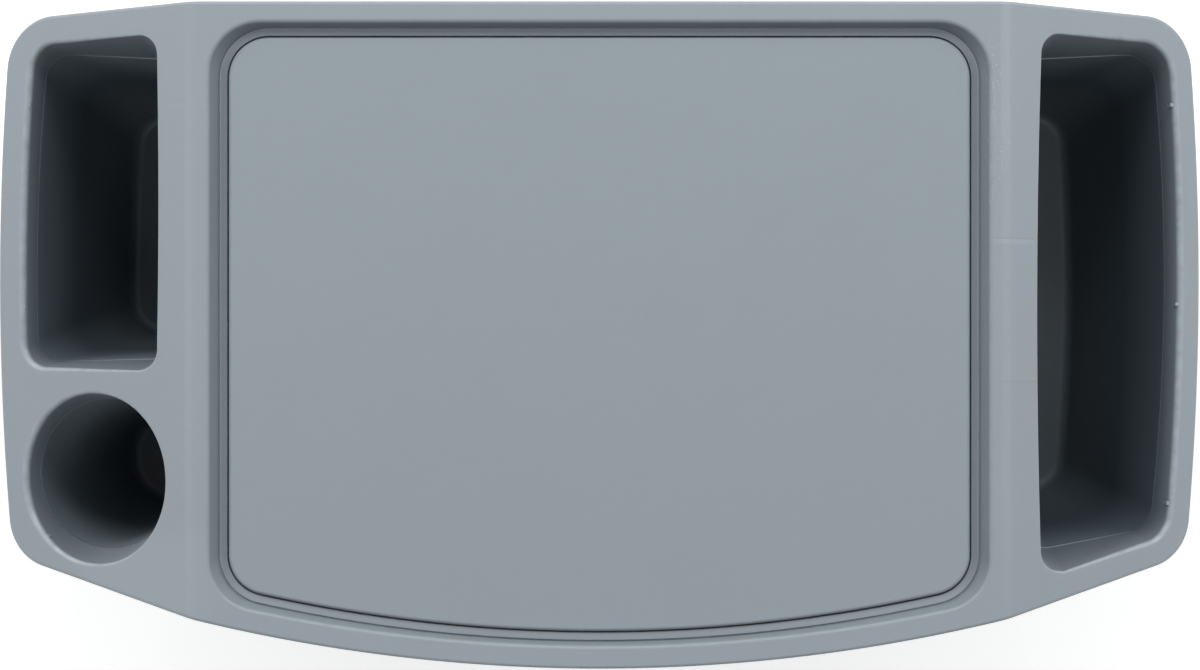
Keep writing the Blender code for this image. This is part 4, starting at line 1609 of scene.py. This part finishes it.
@dataclass
class BinMoulding(Moulding):
    """A bin that hangs under one mouth of the deck and stands on the floor as a leg."""

    node: str
    slot: Slot
    well: Well
    ears: list[Ear]
    rim_reach: tuple[float, float]
    rim_step: float = 0.0004
    rim_face: float = 0.9
    # The seam's step is a pale line from rubbing and painted highlight, kept to part of the end walls
    rim_wear_and_highlight: float = 3.0
    rim_ends: tuple[float, float] = (0.86, 0.97)
    # Where between the seam and the floor the darkest painted shade lies
    deep_share: float = 0.4
    floor_fillet: float = 0.006
    base_fillet: float = 0.004
    base_wear: float = 0.8
    ear_radius: float = 0.0042
    ear_hole: float = 0.0018

    def shell(self) -> list[Station]:
        """Inside from the floor to the seam, over the lap joint, and down the outer side.

        Returns:
            The stations.
        """
        plan, well = self.well.plan, self.well
        floor, shade, step = well.floor_height, well.shade, self.rim_step
        seam = plan.seam - plan.fit
        deep = seam + (floor - seam) * self.deep_share
        shoulder = seam - plan.lap
        lip = plan.wall - plan.tongue - plan.fit
        return [
            # Painted shade darkens the well's inside: most deep down, less on the floor and at the seam
            Station(well.level(floor, -2 * self.floor_fillet), shelter=shade.floor),
            Station(well.level(floor, -step), self.floor_fillet, 0.0, shade.wall),
            Station(well.level(deep, -step), shelter=shade.deep),
            Station(well.level(seam, -step), shelter=shade.wall),
            # The seam's step: the pale line of rubbing and painted highlight
            Station(well.level(seam, -self.rim_face * step), wear=self.rim_wear_and_highlight),
            Station(well.level(seam, lip), wear=self.rim_wear_and_highlight),
            Station(well.level(shoulder, lip)),
            Station(well.level(shoulder, plan.wall)),
            Station(well.level(0.0, plan.wall), self.base_fillet, self.base_wear),
            Station(well.level(0.0, -self.base_fillet)),
        ]

    def fade_rim(self) -> None:
        """Keeps the rim's pale line, from rubbing and painted highlight, to the inner parts of the two end
        walls, within its reach, and gives the rest of the rim painted shade.
        """
        wear, shelter = self.skin.wear, self.skin.shelter
        rim = [vert for vert in self.skin.bm.verts if vert[wear] >= self.rim_wear_and_highlight]
        low = min(vert.co.y for vert in rim)
        high = max(vert.co.y for vert in rim)
        near, far = self.rim_reach
        for vert in rim:
            off_middle = abs(2 * vert.co.y - low - high) / (high - low)
            share = share_of(off_middle, *self.rim_ends) * share_of(abs(vert.co.x), far, near)
            vert[wear] *= share
            vert[shelter] = (1.0 - share) * (1.0 + self.well.shade.wall) / 2

    def add_ears(self) -> None:
        """Adds the ears, each with a clearance hole for its screw."""
        for ear in self.ears:
            top, bottom = ear.top, ear.top - ear.thickness
            outer = ear.keyhole(self.ear_radius, ear.root(top - ear.thickness / 2, self.well.plan.wall / 2))
            hole = [ear.centre + (place - ear.centre).normalized() * self.ear_hole for place in outer]
            loops = ((hole, top), (outer, top), (outer, bottom), (hole, bottom))
            self.skin.bands([Ring(lifted(loop, height)) for loop, height in loops], closed=True)

    def build(self) -> None:
        """Builds the bin and puts it in its node's place."""
        self.skin.capped(rings(self.shell()))
        self.fade_rim()
        self.add_ears()
        settle(self.skin.piece(self.node + "_shell", self.material), Body.TRAY, self.slot, [self.node])


class RepeatTree:
    """A Geometry Nodes tree with named inputs, for pieces that repeat."""

    def __init__(self, name: str, inputs: dict[str, float]) -> None:
        """Starts a tree.

        Args:
            name: The tree's name.
            inputs: Its number inputs with their usual values.
        """
        self.tree = bpy.data.node_groups.new(name, "GeometryNodeTree")
        self.graph = Graph(self.tree)
        face = self.tree.interface
        face.new_socket("Geometry", in_out="INPUT", socket_type="NodeSocketGeometry")
        for label, value in inputs.items():
            kind = "NodeSocketInt" if isinstance(value, int) else "NodeSocketFloat"
            face.new_socket(label, in_out="INPUT", socket_type=kind).default_value = value
        face.new_socket("Geometry", in_out="OUTPUT", socket_type="NodeSocketGeometry")
        self.points = self.graph.node("NodeGroupInput")
        self.given = {label: self.points.other(label) for label in inputs}

    def vector(self, x: Number, y: Number, z: Number) -> Wire:
        """A vector of three numbers."""
        return self.graph.node("ShaderNodeCombineXYZ", inputs={"X": x, "Y": y, "Z": z})

    def grown(
        self,
        name: str,
        pieces: Wire,
        material: bpy.types.Material,
        values: dict[str, float],
        points: Sequence[Vector] = (),
    ) -> bpy.types.Object:
        """Ends the tree, runs it and keeps its result as a plain mesh.

        Args:
            name: The piece's name.
            pieces: The instances that the tree places.
            material: Their finish.
            values: Its inputs by name.
            points: The places that it starts from.

        Returns:
            The piece.
        """
        real = self.graph.node("GeometryNodeRealizeInstances", inputs={"Geometry": pieces})
        dress = {"Geometry": real, "Material": material}
        dressed = self.graph.node("GeometryNodeSetMaterial", inputs=dress)
        self.graph.node("NodeGroupOutput", inputs={"Geometry": dressed})

        mesh = bpy.data.meshes.new(name + "_places")
        mesh.from_pydata([tuple(point) for point in points], [], [])
        carrier = linked(name + "_carrier", mesh)
        modifier = carrier.modifiers.new(name, "NODES")
        modifier.node_group = self.tree
        for item in self.tree.interface.items_tree:
            if item.in_out == "INPUT" and item.name in values:
                modifier[item.identifier] = values[item.name]
        evaluated = carrier.evaluated_get(bpy.context.evaluated_depsgraph_get())
        result = bpy.data.meshes.new_from_object(evaluated)
        result.name = name
        bpy.data.objects.remove(carrier)
        smoothed(result)
        return linked(name, result)


@dataclass
class CentrePanel(Moulding):
    """The lift-out panel: a plate with a soft edge, a flange all round, and ribs on its underside."""

    plan: TrayPlan
    proud: float = 0.0025
    skin_thickness: float = 0.0028
    edge_radius: float = 0.0016
    edge_wear: float = 0.1
    # Painted shade along the plate's rounded edge
    edge_painted_shade: float = 0.45
    small_edge: float = 0.0004
    flange: float = 0.0026
    guide: float = 0.004
    rib_width: float = 0.002
    rib_pitch: float = 0.072
    rib_count: int = 4

    @property
    def top(self) -> float:
        """Height of the panel's upper side."""
        return self.plan.height - self.plan.ledge_drop + self.proud

    @property
    def under(self) -> float:
        """Height of the underside of its skin."""
        return self.top - self.skin_thickness

    @property
    def foot(self) -> float:
        """Height that its flange and ribs stand at."""
        return self.plan.height - self.plan.seat_drop + self.plan.fit

    def plate(self) -> list[Station]:
        """Over the plate's edge, down its flange and back up to the skin.

        Returns:
            The stations.
        """
        outline = self.plan.panel_outline()
        return [
            Station(outline.at(self.top, -self.guide)),
            # The edge's painted shade runs from its rounding down to the foot
            Station(outline.at(self.top), self.edge_radius, self.edge_wear, self.edge_painted_shade),
            Station(outline.at(self.foot), self.small_edge, shelter=self.edge_painted_shade),
            Station(outline.at(self.foot, -self.flange)),
            Station(outline.at(self.under, -self.flange)),
            Station(outline.at(self.under, -self.flange - self.guide)),
        ]

    def rib_row(self, tree: RepeatTree) -> Wire:
        """Bars in a row across the tray, each as long as the bowed front allows.

        Args:
            tree: The tree. Its inputs are the row's sizes.

        Returns:
            The bars.
        """
        graph, given = tree.graph, tree.given
        pitch, foot, radius = given["Pitch"], given["Foot"], given["Arc Radius"]
        tall = given["Top"] - foot
        start = (given["Count"] - 1.0) * pitch * -0.5
        row = {
            "Count": given["Count"],
            "Start Location": tree.vector(start, 0.0, 0.0),
            "Offset": tree.vector(pitch, 0.0, 0.0),
        }
        line = graph.node("GeometryNodeMeshLine", {"mode": "OFFSET"}, row)
        x, _, _ = graph.split(graph.node("GeometryNodeInputPosition"))
        front = given["Arc Centre"] - (radius * radius - x * x).root()
        length = given["Back"] - front
        offset = tree.vector(0.0, front + length * 0.5, foot + tall * 0.5)
        placed = graph.node("GeometryNodeSetPosition", inputs={"Geometry": line, "Offset": offset})
        bar = graph.node("GeometryNodeMeshCube", inputs={"Size": (1.0, 1.0, 1.0)})
        sizes = tree.vector(given["Width"], length, tall)
        bars = {"Points": placed, "Instance": bar, "Scale": sizes}
        return graph.node("GeometryNodeInstanceOnPoints", inputs=bars)

    def build(self) -> None:
        """Builds the plate and its ribs and puts them in the node's place."""
        self.skin.capped(rings(self.plate()))
        plate = self.skin.piece("centre_panel_plate", self.material)
        settle(plate, Body.PANEL, Slot.PANEL, ["centre_panel"])
        arc = self.plan.panel_front.inset(self.flange / 2)
        values = {
            "Count": self.rib_count,
            "Pitch": self.rib_pitch,
            "Width": self.rib_width,
            "Back": max(point.y for point in self.plan.panel_outline().at(0.0, -self.flange / 2)),
            "Arc Radius": arc.radius,
            "Arc Centre": arc.centre.y,
            "Top": (self.top + self.under) / 2,
            "Foot": self.foot,
        }
        tree = RepeatTree("panel_rib_row", values)
        ribs = tree.grown("centre_panel_ribs", self.rib_row(tree), self.material, values)
        settle(ribs, Body.PANEL, Slot.PANEL)


@dataclass
class FixingScrews:
    """The screws that hold the bins, heads down, each with a cross recess turned its own way."""

    material: bpy.types.Material
    ears: list[Ear]
    nodes: list[str]
    shank_radius: float = 0.0015
    length: float = 0.010
    point: float = 0.0015
    head_radius: float = 0.0029
    head_height: float = 0.002
    head_rounding: float = 0.0009
    tip_radius: float = 0.0004
    cross_length: float = 0.0034
    cross_width: float = 0.0007
    cross_depth: float = 0.0011
    seed: int = 7

    def profile(self) -> list[tuple[float, float]]:
        """Radius and height of each ring, from the middle of the head's face up to the tip.

        Returns:
            The rings.
        """
        turns = [math.pi / 2 * step / SMALL_FILLET_STEPS for step in range(SMALL_FILLET_STEPS + 1)]
        rounding_off = [
            (self.head_radius - self.head_rounding * (1 - math.sin(turn)),
             -self.head_height + self.head_rounding * (1 - math.cos(turn)))
            for turn in turns
        ]
        return rounding_off + [
            (self.head_radius, 0.0),
            (self.shank_radius, 0.0),
            (self.shank_radius, self.length - self.point),
            (self.tip_radius, self.length),
        ]

    def screw(self, graph: Graph) -> Wire:
        """One screw: a disc drawn up ring by ring, with a cross cut into its face.

        Args:
            graph: The tree's nodes.

        Returns:
            The screw.
        """

        def moved(shape: Wire, height: float) -> Wire:
            """A shape raised to a height."""
            place = {"Geometry": shape, "Translation": (0.0, 0.0, height)}
            return graph.node("GeometryNodeTransform", inputs=place)

        (radius, height), *rest = self.profile()
        disc = {"Vertices": ROUND_SIDES, "Radius": radius}
        body = moved(graph.node("GeometryNodeMeshCircle", {"fill_type": "NGON"}, disc), height)
        chosen: object = True
        for wide, high in rest:
            draw = {
                "Mesh": body,
                "Selection": chosen,
                "Offset": (0.0, 0.0, 1.0),
                "Offset Scale": high - height,
            }
            raised = graph.node("GeometryNodeExtrudeMesh", {"mode": "FACES"}, draw)
            chosen = raised.other("Top")
            widen = {"Geometry": raised, "Selection": chosen, "Scale": wide / radius}
            body = graph.node("GeometryNodeScaleElements", {"domain": "FACE"}, widen)
            radius, height = wide, high
        bars = []
        for size in ((self.cross_length, self.cross_width), (self.cross_width, self.cross_length)):
            bar = graph.node("GeometryNodeMeshCube", inputs={"Size": (*size, 2 * self.cross_depth)})
            bars.append(moved(bar, -self.head_height))
        settings = {"operation": "DIFFERENCE", "solver": "EXACT"}
        return graph.node("GeometryNodeMeshBoolean", settings, {"Mesh 1": body, "Mesh 2": bars})

    def build(self) -> None:
        """Sets a screw on each place, turned about its own axis at random, in the nodes' places."""
        tree = RepeatTree("fixing_screw_set", {"Seed": self.seed, "Most Turn": 2 * math.pi})
        limits = {2: 0.0, 3: tree.given["Most Turn"], "Seed": tree.given["Seed"]}
        turn = tree.graph.node("FunctionNodeRandomValue", {"data_type": "FLOAT"}, limits).other(1)
        each = {
            "Points": tree.points,
            "Instance": self.screw(tree.graph),
            "Rotation": tree.vector(0.0, 0.0, turn),
        }
        placed = tree.graph.node("GeometryNodeInstanceOnPoints", inputs=each)
        seats = [ear.seat for ear in self.ears]
        screws = tree.grown("fixing_screws", placed, self.material, {"Seed": self.seed}, seats)
        settle(screws, Body.TRAY, Slot.SCREW, self.nodes)


# The studio


class Lamp(NamedTuple):
    """A soft rectangular lamp: its bearing, clockwise from the back, how high it stands, and its power."""

    name: str
    bearing: float
    elevation: float
    watts: float


@dataclass
class Studio:
    """A pale floor, soft light from all round, and a camera straight above the tray."""

    lamps: tuple[Lamp, ...] = (
        Lamp("back_light", 0.0, 45.0, 17.6),
        Lamp("front_light", 180.0, 60.0, 7.4),
        Lamp("left_light", -90.0, 35.0, 9.4),
        Lamp("right_light", 90.0, 35.0, 9.4),
        Lamp("left_back_light", -45.0, 20.0, 13.0),
        Lamp("right_back_light", 45.0, 20.0, 13.0),
    )
    lamp_distance: float = 2.0
    lamp_size: tuple[float, float] = (1.8, 0.7)
    lamp_aim: float = 0.18
    camera_height: float = 1.179
    camera_x: float = 0.00034
    lens: float = 59.45
    sensor: float = 36.0
    floor_half: float = 3.0
    world: float = 0.05

    def hang(self) -> None:
        """Adds the lamps, which all face the tray."""
        for lamp in self.lamps:
            light = bpy.data.lights.new(lamp.name, "AREA")
            light.shape = "RECTANGLE"
            light.size, light.size_y = self.lamp_size
            light.energy = lamp.watts
            bearing, elevation = math.radians(lamp.bearing), math.radians(lamp.elevation)
            level = math.cos(elevation)
            towards = Vector((math.sin(bearing) * level, math.cos(bearing) * level, math.sin(elevation)))
            made = linked(lamp.name, light)
            made.location = Vector((0.0, 0.0, self.lamp_aim)) + towards * self.lamp_distance
            made.rotation_euler = (-towards).to_track_quat("-Z", "Y").to_euler()

    def floor(self) -> None:
        """Lays the floor."""
        mesh = bpy.data.meshes.new("studio_floor")
        signs = ((-1, -1), (1, -1), (1, 1), (-1, 1))
        corners = [(x * self.floor_half, y * self.floor_half, 0.0) for x, y in signs]
        mesh.from_pydata(corners, [], [(0, 1, 2, 3)])
        mesh.materials.append(PaleFloor().made())
        made = linked("studio_floor", mesh)
        made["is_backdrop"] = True

    def surround(self) -> None:
        """Sets the even light of the room, which is white to the camera."""
        world = bpy.data.worlds.new("studio")
        bpy.context.scene.world = world
        world.use_nodes = True
        graph = Graph(world.node_tree)
        room, white = (
            graph.node("ShaderNodeBackground", inputs={"Color": WHITE, "Strength": strength})
            for strength in (self.world, 1.0)
        )
        both = graph.node("ShaderNodeMixShader", inputs={0: graph.in_view(), 1: room, 2: white})
        graph.node("ShaderNodeOutputWorld", inputs={"Surface": both})

    def camera(self) -> None:
        """Hangs the camera straight above the tray, with the back edge at the top of the picture."""
        data = bpy.data.cameras.new("camera")
        data.lens = self.lens
        data.sensor_width = self.sensor
        data.sensor_fit = "HORIZONTAL"
        made = linked("camera", data)
        made.location = (self.camera_x, 0.0, self.camera_height)
        bpy.context.scene.camera = made

    def build(self) -> None:
        """Sets up the floor, the light and the camera."""
        self.floor()
        self.surround()
        self.hang()
        self.camera()
        bpy.context.scene.view_settings.view_transform = "Standard"
        log.info("studio: floor, %d soft lamps and a camera %.3f m up", len(self.lamps), self.camera_height)


# The whole


@dataclass
class BedTray:
    """The tray: its deck, the lift-out panel, two pocket bins, the cup well and the screws."""

    plan: TrayPlan = TrayPlan()
    # Each pocket: its side, lands, corner, the painted shade inside it and its flare
    right: PocketShape = PocketShape(
        Side.RIGHT, 0.0163, 0.0156, 0.0165, PaintedShade(0.34, 0.72, 0.96, 0.6), Flare(0.0029, 0.0007, 0.0005)
    )
    left: PocketShape = PocketShape(
        Side.LEFT, 0.018, 0.0169, 0.013, PaintedShade(0.34, 0.54, 0.88, 1.0), Flare(0.0013, 0.0, 0.0005)
    )
    right_land_front: float = 0.0151
    left_front_angle: float = math.radians(1.1)
    ear_end_inset: float = 0.030
    cup_ear_angles: tuple[float, ...] = (47.0, 133.0, 227.0, 313.0)
    left_rim_reach: tuple[float, float] = (0.243, 0.256)
    right_rim_reach: tuple[float, float] = (0.266, 0.278)
    cup_rim_reach: tuple[float, float] = (0.16, 0.17)
    deck_grey: Colour = (0.306, 0.351, 0.386)
    deck_roughness: float = 0.5
    panel_grey: Colour = (0.289, 0.334, 0.370)
    panel_roughness: float = 0.55
    panel_blotch: float = 0.006
    scuffs: tuple[Patch, ...] = (
        Patch(0.193, 0.105, 0.006, 0.06),
        Patch(0.1985, 0.10, 0.004, 0.07, 0.7),
        Patch(-0.204, -0.06, 0.012, 0.07, 0.3),
    )
    # Painted highlights along the two bends and on the lit side of the ridge over the right gusset, and a
    # paler patch at the left wing's front
    pale: tuple[Patch, ...] = (
        Patch(0.1979, 0.14, 0.0032, 0.07, 0.12),
        Patch(0.1979, 0.0, 0.0032, 0.15, 0.06),
        Patch(-0.2006, 0.0, 0.0026, 0.16, 0.06),
        Patch(-0.228, -0.122, 0.05, 0.035, 0.10),
        Patch(0.203, 0.0461, 0.014, 0.0011, 0.16),
    )
    sinks: tuple[Patch, ...] = (
        Patch(0.203, 0.046, 0.018, 0.0016, rise=-0.00008),
        Patch(0.205, -0.022, 0.014, 0.0012, rise=0.00008),
        Patch(-0.203, 0.1135, 0.018, 0.0016, rise=-0.00005),
    )

    def pocket_ears(self, well: Well, count: int) -> list[Ear]:
        """Ears along a pocket's inner and outer walls.

        Args:
            well: The pocket.
            count: How many are on each wall.

        Returns:
            The ears, from front to back along each wall.
        """
        front = min(top.y for top in well.tops) + self.ear_end_inset
        back = max(top.y for top in well.tops) - self.ear_end_inset
        middle = sum(top.x for top in well.tops) / len(well.tops)
        outward = 0.0 if well.side is Side.RIGHT else math.pi
        return [
            Ear(well, Vector((middle, front + (back - front) * number / (count - 1))), heading)
            for heading in (outward + math.pi, outward)
            for number in range(count)
        ]

    def build(self) -> None:
        """Builds every piece of the tray, from the deck down to the screws."""
        plan, shape = self.plan, CupShape(self.plan)
        right = self.right.well(plan, plan.wing_front.inset(self.right_land_front))
        left = self.left.well(plan, shape.pocket_front(self.left_front_angle))
        cup = shape.well()
        ears = {
            "left_pocket": self.pocket_ears(left, 2),
            "right_pocket": self.pocket_ears(right, 3),
            "cup_well": [Ear(cup, shape.centre * FLIP, math.radians(angle)) for angle in self.cup_ear_angles],
        }
        every_ear = [ear for found in ears.values() for ear in found]

        marks = {"scuffs": self.scuffs, "pale": self.pale, "sinks": self.sinks}
        deck = SatinPlastic("deck_satin", self.deck_grey, self.deck_roughness, **marks)
        DeckMoulding(deck.made(), plan, [left, right, cup], every_ear).build()
        panel = SatinPlastic("panel_satin", self.panel_grey, self.panel_roughness, blotch=self.panel_blotch)
        CentrePanel(panel.made(), plan).build()
        bins = (
            ("left_pocket", "left_pocket_bin", Slot.LEFT_POCKET, left, self.left_rim_reach),
            ("right_pocket", "right_pocket_bin", Slot.RIGHT_POCKET, right, self.right_rim_reach),
            ("cup_well", "cup_well", Slot.CUP_WELL, cup, self.cup_rim_reach),
        )
        for name, node, slot, well, reach in bins:
            finish = SatinPlastic(name + "_satin", self.deck_grey, self.deck_roughness)
            BinMoulding(finish.made(), node, slot, well, ears[name], reach).build()
        nodes = [f"{name}_screw_{n}" for name, found in ears.items() for n in range(1, len(found) + 1)]
        FixingScrews(ZincPlate().made(), every_ear, nodes).build()


def plain(box: Sequence[Vector]) -> list[list[float]]:
    """A box's two corners as plain lists."""
    return [[float(value) for value in corner] for corner in box]


def main() -> None:
    """Builds the tray and its studio, and turns the boxes of the imported model and of the finished scene
    into JSON text.
    """
    logging.basicConfig(level=logging.INFO, format="%(name)s: %(message)s")
    BedTray().build()
    Studio().build()
    for box in (CAD_BOX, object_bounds()):
        json.dumps(plain(box)) + "\n"


if __name__ == "__main__":
    main()
